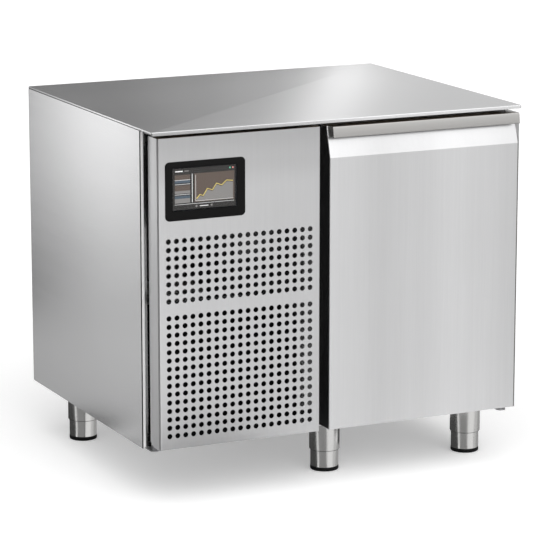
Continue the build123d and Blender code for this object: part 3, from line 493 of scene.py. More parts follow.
def sheet_outline(line, gauge):
    """Closed outline of a bent sheet: the line is its outer face, the gauge lies to the left of it."""
    inner = []
    for i, point in enumerate(line):
        before = Vector(line[max(i - 1, 0)])
        after = Vector(line[min(i + 1, len(line) - 1)])
        here = Vector(point)
        first = (here - before).normalized() if i else (after - here).normalized()
        second = (after - here).normalized() if i < len(line) - 1 else first
        side = Vector((-first.y - second.y, first.x + second.x)).normalized()
        reach = gauge / max(side.dot(Vector((-first.y, first.x))), 0.3)
        inner.append((point[0] + side.x * reach, point[1] + side.y * reach))
    return list(line) + inner[::-1]


def drawn_out(outline, span, axis):
    """Vertices and faces of an outline drawn out along an axis between two places."""
    def lift(point, level):
        place = list(point)
        place.insert("XYZ".index(axis), level)
        return tuple(place)
    return skinned([[lift(point, level) for point in outline] for level in span])


def face_out(piece):
    """Turns the faces of a closed piece outwards."""
    work = bmesh.new()
    work.from_mesh(piece.data)
    bmesh.ops.recalc_face_normals(work, faces=work.faces)
    work.to_mesh(piece.data)
    work.free()


def bent_sheet(name, points, gauge, radius, span, axis, finish, slot_name, steps=5):
    """A bent sheet as a piece, with its faces turned outwards."""
    outline = sheet_outline(bent_line(points, radius, steps), gauge)
    piece = new_piece(name, *drawn_out(outline, span, axis), finish, slot_name)
    face_out(piece)
    return piece


for side, inward in (("left", 1), ("right", -1)):
    node_name = side + "_side_panel"
    low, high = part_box(node_name)
    outer = low.x if side == "left" else high.x
    profile = [
        (outer, high.y - rear_wrap),
        (outer, low.y),
        (outer + inward * lip_depth, low.y),
        (outer + inward * lip_depth, low.y + hem_depth),
    ]
    if side == "left":
        profile.append((outer + stile_reach, low.y + hem_depth))
    sheet = bent_sheet(side + "_side_sheet", profile[::inward], side_gauge, side_bend,
                       (low.z, worktop_top - fold_side - top_seam), "Z", side_steel, "stainless", 8)
    if side == "left":
        lip_x, lip_y, bend_y = outer + side_bend * 0.9, low.y + hem_depth * 0.9, low.y + side_bend
        refinish(sheet, lip_satin, lambda face: face.center.x > lip_x and face.center.y < lip_y)
        # The faces of the front bend take the near-black steel: a painted dark reflection line.
        refinish(sheet, bend_painted_dark_reflection, lambda face: face.center.x <= lip_x and face.center.y < bend_y)
    seat = outer + inward * seam_depth
    flange_top = high.z - 0.0001
    flange = bent_sheet(
        side + "_side_flange",
        [(seat, high.z - flange_drop), (seat, flange_top), (seat + inward * flange_reach, flange_top)],
        -inward * side_gauge, flange_bend, (low.y + hem_depth, high.y), "Y", side_steel, "stainless",
    )
    back = bent_sheet(
        side + "_side_back",
        [(outer + inward * rear_flange, high.y), (outer, high.y), (outer, high.y - rear_wrap)],
        inward * side_gauge, flange_bend, (low.z, high.z), "Z", side_steel, "stainless",
    )
    for piece in (sheet, flange, back):
        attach(piece, "cabinet")
        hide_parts(node_name)

# Base, rear skins, face frame and divider: pressed and folded sheet, riveted together. The machine side of
# the divider is galvanised, what a hand can reach from outside is stainless.


def dress(finish, *names):
    """Gives CAD nodes a finish."""
    for name in names:
        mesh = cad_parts[name].data
        mesh.materials.clear()
        mesh.materials.append(finish)


frame_steel = brushed_steel("frame_steel", "X", colour=(0.52, 0.52, 0.525), rough=0.38)
dress(frame_steel, "base_panel", "chamber_front_frame", "rear_panel", "rear_grille")

galvanised, tree, shader = new_finish("galvanised_sheet")
place = wired(tree, "ShaderNodeTexCoord")
spangle = wired(tree, "ShaderNodeTexVoronoi", {"Vector": place.outputs["Object"], "Scale": 130.0})
tone = wired(tree, "ShaderNodeSeparateColor", {"Color": spangle.outputs["Color"]})
feed(tree, shader, {
    "Base Color": tinted(tree, (0.34, 0.355, 0.365), spread_over(tree, tone.outputs["Red"], 0.88, 1.08)),
    "Metallic": 0.9, "Roughness": spread_over(tree, tone.outputs["Green"], 0.38, 0.5),
})
dress(galvanised, "divider_panel", "condenser_fan_shroud")

# Thermal break and foamed body: a light plastic frame between the cold face frame and the chamber, and the
# polyurethane foam that fills the walls and the door and holds the liner. The cable gland is grey plastic.


def moulded(name, colour, rough=0.45, grain=900.0, vary=0.06, shine=0.5):
    """Moulded plastic with a fine spark-eroded grain."""
    finish, tree, shader = new_finish(name)
    pores = surface_noise(tree, (grain,) * 3, 2.0)
    clouds = surface_noise(tree, (9.0,) * 3, 2.0)
    factor = product(
        tree,
        spread_over(tree, pores, 1.0 - vary, 1.0 + vary),
        spread_over(tree, clouds, 1.0 - vary / 2, 1.0 + vary / 2),
    )
    feed(tree, shader, {
        "Base Color": tinted(tree, colour, factor), "Specular IOR Level": shine,
        "Roughness": spread_over(tree, pores, rough - 0.05, rough + 0.05),
        "Normal": bumped(tree, pores, 0.15, 0.0002),
    })
    return finish


grey_plastic = moulded("grey_plastic", (0.18, 0.185, 0.19))
black_plastic = moulded("black_plastic", (0.005, 0.005, 0.0055), rough=0.5, shine=0.12)
light_plastic = moulded("light_plastic", (0.62, 0.62, 0.60))
dress(grey_plastic, "cable_gland")
dress(light_plastic, "thermal_break")
foam = moulded("polyurethane_foam", (0.72, 0.60, 0.33), rough=0.85, grain=350.0, vary=0.14)
dress(foam, "insulation_body", "door_insulation")

# Service panel: one perforated stainless sheet, bent back at both sides and folded at top and bottom. It
# swings on pins at its left edge and is held by magnets at its right one. The holes are punched in two
# fields with one blank row between them.
panel_bend = 0.0065
panel_gauge = 0.001
panel_depth = 0.061
left_shortfall = 0.010
left_round = 0.0042
right_round = 0.0025
cut_depth = 0.028
cut_height = 0.009
flange_width = 0.016
fold_depth = 0.058
fold_inset = 0.020
window_rim = 0.006
hole_pitch = 0.019
hole_radius = 0.0060
hole_sides = 16
hole_columns = 19
hole_foot = 0.030
hole_rows = 24
blank_row = 15
weld_reach = 0.00001

low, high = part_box("panel_skin")
px, py, pz = zip(low, high)
front_face = py[0]
# The service panel's steel carries painted shade in its colour: darker towards its top under the worktop's
# edge, a little darker at its foot.
panel_painted_shade_steel = brushed_steel(
    "panel_painted_shade_steel", "Z", colour=(0.61, 0.61, 0.615), rough=0.29,
    bands=("Z", ((pz[0], 0.95), (pz[0] + 0.3, 1.0), (pz[1] - 0.13, 0.97), (pz[1] - 0.06, 0.86),
                 (pz[1], 0.78))),
)


def tree_of(name, *sockets):
    """An empty geometry tree and its inputs and their ids, each input given by name, kind and value."""
    tree = bpy.data.node_groups.new(name, "GeometryNodeTree")
    tree.interface.new_socket("Geometry", in_out="OUTPUT", socket_type="NodeSocketGeometry")
    ids = {}
    for label, kind, value in sockets:
        socket = tree.interface.new_socket(label, in_out="INPUT", socket_type="NodeSocket" + kind)
        if value is not None:
            socket.default_value = value
        ids[label] = socket.identifier
    return tree, wired(tree, "NodeGroupInput").outputs, ids


def made_real(tree, given, shape):
    """Ends a geometry tree: its shape made real and given the finish."""
    real = wired(tree, "GeometryNodeRealizeInstances", {"Geometry": shape})
    painted = wired(tree, "GeometryNodeSetMaterial",
                    {"Geometry": real.outputs[0], "Material": given["Finish"]})
    wired(tree, "NodeGroupOutput", {0: painted.outputs[0]})


def grown(name, tree, ids, values, vertices=((0, 0, 0),)):
    """The plain mesh that a geometry tree grows from a seed of points, as a piece."""
    seed_mesh = bpy.data.meshes.new(name + "_seed")
    seed_mesh.from_pydata([tuple(v) for v in vertices], [], [])
    seed = placed(name + "_seed", seed_mesh)
    modifier = seed.modifiers.new("grow", "NODES")
    modifier.node_group = tree
    for label, value in values.items():
        modifier[ids[label]] = value
    bpy.context.view_layer.update()
    evaluated = seed.evaluated_get(bpy.context.evaluated_depsgraph_get())
    mesh = bpy.data.meshes.new_from_object(evaluated)
    mesh.name = name
    seed.modifiers.remove(modifier)
    bpy.data.objects.remove(seed)
    bpy.data.meshes.remove(seed_mesh)
    piece = placed(name, mesh)
    return piece


tree, given, ids = tree_of(
    "perforated_sheet",
    ("Sheet Width", "Float", 0.4), ("Sheet Height", "Float", 0.7), ("Gauge", "Float", 0.001),
    ("Hole Radius", "Float", 0.005), ("Hole Sides", "Int", 16), ("Hole Pitch", "Float", 0.02),
    ("Columns", "Int", 10), ("Rows", "Int", 10), ("Blank Row", "Int", 5), ("Foot", "Float", 0.03),
    ("Window Width", "Float", 0.1), ("Window Height", "Float", 0.1), ("Window Centre", "Vector", None),
    ("Finish", "Material", None),
)
sheet = wired(tree, "GeometryNodeCurvePrimitiveQuadrilateral",
              {"Width": given["Sheet Width"], "Height": given["Sheet Height"]})
window = wired(tree, "GeometryNodeCurvePrimitiveQuadrilateral",
               {"Width": given["Window Width"], "Height": given["Window Height"]})
window = wired(tree, "GeometryNodeTransform",
               {"Geometry": window.outputs["Curve"], "Translation": given["Window Centre"]})
punch = wired(tree, "GeometryNodeCurvePrimitiveCircle",
              {"Resolution": given["Hole Sides"], "Radius": given["Hole Radius"]})
index = wired(tree, "GeometryNodeInputIndex").outputs[0]
row = worked_out(tree, "FLOOR", worked_out(tree, "DIVIDE", index, given["Columns"]), 0.0)
column = worked_out(tree, "MODULO", index, given["Columns"])
middle = worked_out(tree, "MULTIPLY", worked_out(tree, "SUBTRACT", given["Columns"], 1.0), 0.5)
hole_x = worked_out(tree, "MULTIPLY", worked_out(tree, "SUBTRACT", column, middle), given["Hole Pitch"])
hole_z = worked_out(tree, "ADD", worked_out(tree, "MULTIPLY", row, given["Hole Pitch"]), given["Foot"])
hole_z = worked_out(tree, "SUBTRACT", hole_z, worked_out(tree, "MULTIPLY", given["Sheet Height"], 0.5))
spot = wired(tree, "ShaderNodeCombineXYZ", {"X": hole_x, "Y": hole_z})
points = wired(tree, "GeometryNodePoints", {
    "Count": worked_out(tree, "MULTIPLY", given["Columns"], given["Rows"]), "Position": spot.outputs[0],
})
whole_row = worked_out(tree, "ADD", row, 0.0)
in_blank_row = wired(tree, "FunctionNodeCompare", {2: whole_row, 3: given["Blank Row"]},
                     data_type="INT", operation="EQUAL")
kept = wired(tree, "GeometryNodeDeleteGeometry",
             {"Geometry": points.outputs[0], "Selection": in_blank_row.outputs[0]}, domain="POINT")
holes = wired(tree, "GeometryNodeInstanceOnPoints",
              {"Points": kept.outputs[0], "Instance": punch.outputs["Curve"]})
lines = wired(tree, "GeometryNodeJoinGeometry",
              {0: [sheet.outputs["Curve"], window.outputs[0], holes.outputs[0]]})
real = wired(tree, "GeometryNodeRealizeInstances", {"Geometry": lines.outputs[0]})
fill = wired(tree, "GeometryNodeFillCurve", {"Curve": real.outputs[0]})
thick = wired(tree, "GeometryNodeExtrudeMesh", {
    "Mesh": fill.outputs[0], "Individual": False, "Offset Scale": given["Gauge"],
}, mode="FACES")
back = wired(tree, "GeometryNodeFlipFaces", {0: fill.outputs[0]})
both = wired(tree, "GeometryNodeJoinGeometry", {0: [thick.outputs["Mesh"], back.outputs[0]]})
welded = wired(tree, "GeometryNodeMergeByDistance", {"Geometry": both.outputs[0], "Distance": weld_reach})
raised = wired(tree, "GeometryNodeTransform", {"Geometry": welded.outputs[0], "Rotation": (pi / 2, 0.0, 0.0)})
made_real(tree, given, raised.outputs[0])

bezel_low, bezel_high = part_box("screen_bezel")
sheet_centre = Vector(((px[0] + px[1]) / 2, front_face + panel_gauge, (pz[0] + pz[1]) / 2))
window_centre = (
    (bezel_low.x + bezel_high.x) / 2 - sheet_centre.x,
    (bezel_low.z + bezel_high.z) / 2 - sheet_centre.z,
    0.0,
)
panel_front = grown("service_panel_sheet", tree, ids, {
    "Sheet Width": px[1] - px[0] - 2 * panel_bend, "Sheet Height": pz[1] - pz[0], "Gauge": panel_gauge,
    "Hole Radius": hole_radius, "Hole Sides": hole_sides, "Hole Pitch": hole_pitch, "Columns": hole_columns,
    "Rows": hole_rows, "Blank Row": blank_row, "Foot": hole_foot,
    "Window Width": bezel_high.x - bezel_low.x - 2 * window_rim,
    "Window Height": bezel_high.z - bezel_low.z - 2 * window_rim,
    "Window Centre": window_centre, "Finish": panel_painted_shade_steel,
})
panel_front.data.transform(Matrix.Translation(sheet_centre))

rear = front_face + panel_depth
left_rear = rear - left_shortfall
line = [(px[0], left_rear), (px[0], front_face), (px[0] + panel_bend, front_face)]
outline = sheet_outline(bent_line(line, left_round, 8), panel_gauge)
cut_rear = (rear - cut_depth,)
cut = [outline[0][:1] + cut_rear] + outline[1:-1] + [outline[-1][:1] + cut_rear]
loops = [[(*point, level) for point in ring_points]
         for ring_points, level in ((cut, pz[0]), (outline, pz[0] + cut_height), (outline, pz[1]))]
left_edge = new_piece("panel_edge_left", *skinned(loops), panel_painted_shade_steel, "stainless")
line = [(px[1] - panel_bend, front_face), (px[1], front_face), (px[1], rear), (px[1] - flange_width, rear)]
right_edge = bent_sheet("panel_edge_right", line, panel_gauge, right_round, pz, "Z", panel_painted_shade_steel, "stainless")
pieces = [panel_front, left_edge, right_edge]

inner_left, inner_right = px[0] + panel_gauge, px[1] - panel_gauge
inner_front, inner_rear = front_face + panel_gauge, rear - panel_gauge
fold_rear = front_face + fold_depth
for level, behind, name in ((pz[0], rear - cut_depth, "bottom"), (pz[1] - panel_gauge, left_rear, "top")):
    corner = [(inner_left, behind - panel_gauge), (inner_left, inner_front), (inner_right, inner_front)]
    outline = bent_line(corner, left_round - panel_gauge, 8) + [
        (inner_right, inner_rear), (px[1] - flange_width, inner_rear), (px[1] - flange_width, fold_rear),
        (px[0] + fold_inset, fold_rear), (px[0] + fold_inset, behind - panel_gauge),
    ]
    pieces.append(new_piece("panel_fold_" + name, *drawn_out(outline, (level, level + panel_gauge), "Z"),
                            panel_painted_shade_steel, "stainless"))
for piece in pieces:
    if piece is not panel_front:
        face_out(piece)
    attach(piece, "service_panel")
    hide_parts("panel_skin")

# Hinges and catches: steel pins on welded brackets turn in plain plastic bushes inside the fronts, and two
# magnetic catches hold the service panel shut.
bracket_steel = brushed_steel("bracket_steel", "X", colour=(0.42, 0.42, 0.43), rough=0.4)
dress(bracket_steel, "door_hinge_brackets", "panel_hinge_brackets")
dress(light_plastic, "door_hinge_bushes", "panel_hinge_bushes")
dress(black_plastic, "panel_catches")

# Touchscreen: a moulded black bezel clipped through the panel, touch glass seated in it and a lit display
# behind. The housing of the control unit closes it at the back.
bezel_neck = 0.0062
bezel_corner = 0.0100
neck_corner = 0.0040
window_corner = 0.0012
display_cover = 0.0028
glass_ledge = 0.0030
ledge_depth = 0.0010
bezel_finish = moulded("bezel_plastic", (0.0055, 0.0055, 0.0055), rough=0.42, grain=1500.0, shine=0.08)
dress(black_plastic, "controller_housing")

glass, tree, shader = new_finish("touch_glass")
film = surface_noise(tree, (30.0,) * 3, 2.0)
feed(tree, shader, {
    "Base Color": (0.02, 0.022, 0.025, 1.0), "Alpha": 0.12, "Roughness": spread_over(tree, film, 0.06, 0.12),
})
dress(glass, "screen_glass")


def lit(name, colour, strength=0.9, vary=0.03):
    """A lit area of the display."""
    finish, tree, shader = new_finish(name)
    dots = surface_noise(tree, (2500.0,) * 3, 1.0)
    shade = tinted(tree, colour, spread_over(tree, dots, 1.0 - vary, 1.0 + vary))
    feed(tree, shader, {
        "Base Color": shade, "Emission Color": shade, "Emission Strength": strength, "Roughness": 0.4,
    })
    return finish


dress(lit("display_dark", (0.020, 0.022, 0.026), 0.6), "display_module")


def narrowed(span, inset):
    """A span with both its ends moved inwards."""
    return span[0] + inset, span[1] - inset


bx, by, bz = zip(bezel_low, bezel_high)
display_low, display_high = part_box("display_module")
wx = narrowed((display_low.x, display_high.x), display_cover)
wz = narrowed((display_low.z, display_high.z), display_cover)
loops = []
for (x, z), inset, corner, depth in (
    ((bx, bz), bezel_neck, neck_corner, by[1]),
    ((bx, bz), bezel_neck, neck_corner, front_face),
    ((bx, bz), 0.0, bezel_corner, front_face),
    ((bx, bz), 0.0, bezel_corner, by[0] + 0.0009),
    ((bx, bz), 0.0003, bezel_corner - 0.0003, by[0] + 0.0003),
    ((bx, bz), 0.0009, bezel_corner - 0.0009, by[0]),
    ((wx, wz), 0.0, window_corner, by[0]),
    ((wx, wz), 0.0, window_corner, by[0] + ledge_depth),
    ((wx, wz), -glass_ledge, window_corner, by[0] + ledge_depth),
    ((wx, wz), -glass_ledge, window_corner, by[1]),
):
    loop = rounded_loop(narrowed(x, inset), narrowed(z, inset), 0.0, corner, 8)
    loops.append([(point[0], depth, point[1]) for point in loop])
bezel = new_piece("bezel_moulding", *skinned(loops, closed=True), bezel_finish, "bezel")
face_out(bezel)
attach(bezel, "service_panel")
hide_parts("screen_bezel")

# Screen picture: a generic home page, drawn as thin plates on the display. Three tiles stand at the left, a
# chart at the right, a status row with two lamps above and a bar with two buttons below.
plate_step = 0.00008
picture_finishes = {
    "tile_dark": lit("tile_dark", (0.014, 0.013, 0.012)),
    "tile_brown": lit("tile_brown", (0.070, 0.052, 0.042), vary=0.12),
    "tile_blue": lit("tile_blue", (0.045, 0.065, 0.085)),
    "tile_grey": lit("tile_grey", (0.155, 0.150, 0.145)),
    "line_light": lit("line_light", (0.68, 0.68, 0.68)),
    "line_yellow": lit("line_yellow", (0.60, 0.50, 0.12)),
    "lamp_green": lit("lamp_green", (0.10, 0.42, 0.28)),
    "lamp_red": lit("lamp_red", (0.62, 0.22, 0.20)),
}
picture_names = list(picture_finishes)


def oblong(x, z, width, height):
    """Corners of an upright rectangle in display millimetres, from its lower left one."""
    return [(x, z), (x + width, z), (x + width, z + height), (x, z + height)]


def dot(x, z, radius, sides=16):
    """Corners of a round dot in display millimetres."""
    turns = [2 * pi * i / sides for i in range(sides)]
    return [(x + radius * cos(turn), z + radius * sin(turn)) for turn in turns]


def stroke(points, width):
    """Corners of a line of some width through points, in display millimetres."""
    upper = []
    lower = []
    for i, (x, z) in enumerate(points):
        ahead = points[min(i + 1, len(points) - 1)]
        behind = points[max(i - 1, 0)]
        step = Vector((ahead[0] - behind[0], ahead[1] - behind[1])).normalized()
        upper.append((x - step.y * width / 2, z + step.x * width / 2))
        lower.append((x + step.y * width / 2, z - step.x * width / 2))
    return upper + lower[::-1]


chart = [(58, 24), (66, 33), (74, 30), (84, 45), (96, 41), (106, 55), (118, 50), (130, 60), (145, 58)]
plates = [
    ("tile_dark", 1, oblong(2, 2, 149.5, 91)),
    ("tile_dark", 2, oblong(6, 60, 38, 20)), ("tile_brown", 3, oblong(7, 61, 36, 18)),
    ("tile_blue", 4, oblong(7, 61, 36, 6)), ("line_light", 5, oblong(7, 67.2, 36, 0.7)),
    ("tile_brown", 3, oblong(7, 38, 36, 18)), ("tile_grey", 4, oblong(7, 38, 36, 6)),
    ("line_light", 5, oblong(7, 58, 36, 0.7)), ("line_light", 5, oblong(7, 35.4, 36, 0.7)),
    ("tile_grey", 3, oblong(7, 17, 36, 16)), ("tile_blue", 4, oblong(7, 27, 36, 6)),
    ("line_light", 4, oblong(47.6, 17, 1.1, 63)),
    ("tile_brown", 3, oblong(53, 17, 95, 63)),
    ("tile_grey", 4, [(58, 20)] + [(x, z - 3) for x, z in chart] + [(145, 20)]),
    ("line_yellow", 6, stroke(chart, 1.3)),
    ("line_light", 5, oblong(56, 19, 90, 0.6)), ("line_light", 5, oblong(56, 19, 0.6, 58)),
    ("lamp_green", 4, dot(138, 87, 1.8)), ("lamp_red", 4, dot(145, 87, 1.8)),
    ("line_light", 4, oblong(8, 85.8, 18, 2.2)),
    ("tile_grey", 4, oblong(30, 85.8, 10, 2.2)),
    ("line_light", 4, oblong(7, 13.6, 141, 0.6)),
    ("tile_grey", 4, dot(58, 8, 2.6, 6)), ("tile_grey", 4, dot(94, 8, 2.6, 6)),
    ("line_light", 4, oblong(66, 7.2, 20, 1.4)),
]
vertices = []
faces = []
kinds = []
for kind, layer, outline in plates:
    outline = [(wx[0] + x / 1000, wz[0] + z / 1000) for x, z in outline]
    span = (display_low.y - plate_step * layer, display_low.y - plate_step * (layer - 1) * 0.5)
    more, more_faces = drawn_out(outline, span, "Y")
    faces += [tuple(i + len(vertices) for i in face) for face in more_faces]
    kinds += [picture_names.index(kind)] * len(more_faces)
    vertices += more
picture = new_piece("screen_picture", vertices, faces, picture_finishes["tile_dark"], "display")
picture.data.materials.clear()
for finish in picture_finishes.values():
    picture.data.materials.append(finish)
for face, kind in zip(picture.data.polygons, kinds):
    face.material_index = kind
face_out(picture)
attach(picture, "service_panel")

# Door: a stainless skin foamed to its inner pan, bent round at its upright edges, with a slanted finger
# recess under the handle, a folded corner at the hinge end and a black plastic profile on its free side.
door_round = 0.002
door_round_right = 0.0033
painted_dark_width = 0.0044
door_gauge = 0.001
pan_depth = 0.058
recess_height = 0.069
recess_depth = 0.0185
gusset_width = 0.011
gusset_ease = 0.0006
profile_gauge = 0.0008
bend_steps = 8
low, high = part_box("door_skin")
dx, dz = (low.x, high.x), (low.z, high.z)
pan_front = front_face + pan_depth
pan_seat = pan_front - door_gauge
crease = dz[1] - recess_height
# The door's steel carries painted reflection: soft upright light and dark bands across it in its colour.
door_painted_reflection_steel = brushed_steel(
    "door_painted_reflection_steel", "Z", rough=0.29,
    bands=("X", ((dx[0], 1.03), (dx[0] + 0.05, 1.0), (dx[0] + 0.13, 0.93), (dx[0] + 0.22, 0.98),
                 (dx[0] + 0.31, 1.06), (dx[0] + 0.38, 1.03), (dx[1], 0.95))),
)


def door_section(x, back):
    """Side view of the door's body at one place across it, its front set back by some amount."""
    face = front_face + back
    return [(x, pan_seat, dz[0]), (x, face, dz[0]), (x, face, crease), (x, face + recess_depth, dz[1]),
            (x, pan_seat, dz[1])]


turns = [pi / 2 * i / bend_steps for i in range(bend_steps + 1)]
loops = [door_section(dx[0] + door_round * (1 - cos(turn)), door_round * (1 - sin(turn))) for turn in turns]
loops.append(door_section(dx[1] - painted_dark_width, 0.0))
loops += [door_section(dx[1] - door_round_right * (1 - cos(turn)), door_round_right * (1 - sin(turn)))
          for turn in turns[::-1]]
door_body = new_piece("door_front", *skinned(loops), door_painted_reflection_steel, "stainless", smooth_below=0.22)
face_out(door_body)
# The door's right bend is coloured dark grey: a painted dark reflection line along the bend.
door_edge_painted_dark_reflection = brushed_steel("door_edge_painted_dark_reflection", "Z", colour=(0.20, 0.20, 0.20), rough=0.3)
refinish(door_body, door_edge_painted_dark_reflection, lambda face: face.center.x > dx[1] - painted_dark_width and face.normal.x < 0.95)

loops = []
for inset, depth in ((0.0, pan_seat), (0.0, pan_front), (door_gauge, pan_front), (door_gauge, pan_seat)):
    x, z = narrowed(dx, inset), narrowed(dz, inset)
    loops.append([(x[0], depth, z[0]), (x[1], depth, z[0]), (x[1], depth, z[1]), (x[0], depth, z[1])])
door_rim = new_piece("door_rear_rim", *skinned(loops, closed=True), door_painted_reflection_steel, "stainless")
face_out(door_rim)

gusset_top = dz[1] - 0.0001
corner = (dx[1] - gusset_ease, front_face + 0.0015, crease)
nose = (dx[1] - gusset_ease, front_face + 0.0015, gusset_top)
heel = (dx[1] - 0.0002, front_face + recess_depth, gusset_top)
inside = (dx[1] - gusset_width, front_face + recess_depth, gusset_top)
gusset = new_piece("door_corner_gusset", [corner, nose, heel, inside],
                   [(0, 1, 2), (0, 3, 1), (0, 2, 3), (1, 3, 2)], door_painted_reflection_steel, "stainless")
face_out(gusset)
for piece in (door_body, door_rim, gusset):
    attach(piece, "door")
    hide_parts("door_skin")

# The door's free side gets a black plastic edge profile, made black also as painted shade: it puts a dark
# face where the gap beside the service panel lies in shade.
side_points = [
    (front_face + 0.0030, dz[0] + 0.001),
    (front_face + 0.0575, dz[0] + 0.001),
    (front_face + 0.0575, dz[1] - 0.001),
    (front_face + recess_depth + 0.003, dz[1] - 0.001),
    (front_face + 0.0030, crease),
]
side_profile = new_piece(
    "door_side_profile",
    *drawn_out(side_points, (dx[0] - profile_gauge, dx[0] - 0.00005), "X"),
    black_plastic, "black_plastic",
)
face_out(side_profile)
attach(side_profile, "door")

dress(brushed_steel("pan_steel", "Z", colour=(0.56, 0.56, 0.565), rough=0.36), "door_pan")
dress(moulded("seal_rubber", (0.10, 0.105, 0.11), rough=0.6), "door_gasket")

# Handle: a J-shaped stainless profile screwed along the door's top, its lip leaning forward over the finger
# recess and hemmed back at its lower edge.
handle_gauge = 0.0015
handle_bend = 0.0018
handle_hem = 0.004
handle_lean = 0.0039
low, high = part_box("door_handle")
hx, hy, hz = zip(low, high)
handle_line = [(hy[1], hz[1]), (hy[0] + handle_lean, hz[1]), (hy[0], hz[0]), (hy[0] + handle_hem, hz[0])]
handle_steel = brushed_steel("handle_steel", "X", colour=(0.41, 0.403, 0.393), rough=0.28)
handle = bent_sheet("handle_profile", handle_line, handle_gauge, handle_bend, hx, "X",
                    handle_steel, "stainless")
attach(handle, "door")
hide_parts("door_handle")

# Feet: a fixed brushed sleeve under the base, a leg that screws up and down in it and a plastic pad pressed
# on the leg's end. Four of them, the front left one set under the divider.
ring_steps = 64
sleeve_radius = 0.0355
sleeve_bore = 0.0330
leg_radius = 0.0326
leg_bore = 0.0306
pad_radius = 0.0330
foot_steel = brushed_steel("foot_steel", "Z", colour=(0.66, 0.655, 0.645), rough=0.25, streak=0.02)


def ring(centre, radius, level):
    """Circle of points lying flat."""
    turns = [2 * pi * i / ring_steps for i in range(ring_steps)]
    return [(centre[0] + radius * cos(turn), centre[1] + radius * sin(turn), level) for turn in turns]


def turned(name, centre, sections, finish, slot_name):
    """A turned piece standing upright, through a list of radii and heights."""
    loops = [ring(centre, radius, level) for radius, level in sections]
    piece = new_piece(name, *skinned(loops), finish, slot_name)
    face_out(piece)
    return piece


sleeve_low, sleeve_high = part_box("foot_sleeves")
bottom, top = sleeve_low.z, sleeve_high.z
for name in ("rear_left", "front_middle", "front_right", "rear_right"):
    low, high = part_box("foot_leg_" + name)
    centre = ((low.x + high.x) / 2, (low.y + high.y) / 2)
    sleeve = turned("foot_sleeve_" + name, centre, [
        (sleeve_bore, top - 0.004), (sleeve_bore, bottom + 0.0005), (sleeve_bore + 0.0005, bottom),
        (sleeve_radius - 0.0010, bottom), (sleeve_radius, bottom + 0.0013), (sleeve_radius, top - 0.0002),
    ], foot_steel, "stainless")
    # A black plastic insert ring on the sleeve's lower chamfer, made black also as painted shade: the dark
    # shadow line where the leg leaves the sleeve.
    refinish(sleeve, black_plastic, lambda face: face.center.z < bottom + 0.001)
    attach(sleeve, "cabinet")
    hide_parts("foot_sleeves")
    leg = turned("foot_leg_tube_" + name, centre, [
        (leg_bore, high.z), (leg_bore, low.z + 0.002), (leg_bore, low.z + 0.0018),
        (leg_radius - 0.0008, low.z), (leg_radius, low.z + 0.0010), (leg_radius, high.z - 0.0006),
        (leg_radius - 0.0006, high.z),
    ], foot_steel, "stainless")
    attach(leg, "foot_" + name)
    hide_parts("foot_leg_" + name)
    low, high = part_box("foot_pad_" + name)
    pad = turned("foot_pad_disc_" + name, centre, [
        (pad_radius - 0.0030, low.z), (pad_radius - 0.0008, low.z + 0.0006), (pad_radius, low.z + 0.0020),
        (pad_radius, high.z - 0.0012), (pad_radius - 0.0008, high.z), (pad_radius - 0.0030, high.z),
    ], black_plastic, "black_plastic")
    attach(pad, "foot_" + name)
    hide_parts("foot_pad_" + name)

# Chamber: a deep-drawn stainless liner with its rack posts and tray runners, and under its ceiling the air
# unit's folded cover, heater rods, fan and coil, whose aluminium fins are pressed on winding copper tubes.
fin_margin = 0.018
fin_gauge = 0.0004
plate_gauge = 0.001
plate_bend = 0.0015
plate_gap = 0.003
plate_flange = 0.009
tube_share = 0.38
bend_share = 0.8
tube_sides = 10
liner_steel = brushed_steel("liner_steel", "Z", colour=(0.55, 0.555, 0.56), rough=0.35)
dress(liner_steel, "chamber_liner", "rack_posts", "tray_runners", "air_unit_cover", "steam_pipe")
fin_aluminium = brushed_steel("fin_aluminium", "Z", colour=(0.42, 0.43, 0.44), rough=0.45)

fin_tree, given, fin_ids = tree_of(
    "fin_pack", ("Count", "Int", 60), ("Pitch", "Float", 0.004), ("Fin Size", "Vector", None),
    ("Finish", "Material", None),
)
step = wired(fin_tree, "ShaderNodeCombineXYZ", {"X": given["Pitch"]})
line = wired(fin_tree, "GeometryNodeMeshLine", {"Count": given["Count"], "Offset": step.outputs["Vector"]})
fin = wired(fin_tree, "GeometryNodeMeshCube", {"Size": given["Fin Size"]})
fins = wired(fin_tree, "GeometryNodeInstanceOnPoints",
             {"Points": line.outputs["Mesh"], "Instance": fin.outputs["Mesh"]})
made_real(fin_tree, given, fins.outputs["Instances"])


def tube_path(ends, low, pitch, rows):
    """Side view of a tube that winds up through a coil in rows, with a round bend at each end."""
    turn = pitch / 2
    path = []
    for i in range(rows):
        level = low + pitch * (i + 0.5)
        first, last = ends if i % 2 == 0 else ends[::-1]
        path += [(first, level), (last, level)]
        if i < rows - 1:
            out = 1 if last > first else -1
            path += [(last + out * turn * bend_share * sin(pi * a / 6), level + turn - turn * cos(pi * a / 6))
                     for a in range(1, 6)]
    return path


def tube_loops(path, y, radius):
    """Rings of a tube's wall along a path in an upright plane."""
    loops = []
    for i, here in enumerate(path):
        before, after = Vector(path[max(i - 1, 0)]), Vector(path[min(i + 1, len(path) - 1)])
        along = (after - before).normalized()
        loop = []
        for a in range(tube_sides):
            turn = 2 * pi * a / tube_sides
            loop.append((here[0] - along.y * radius * sin(turn), y + radius * cos(turn),
                         here[1] + along.x * radius * sin(turn)))
        loops.append(loop)
    return loops


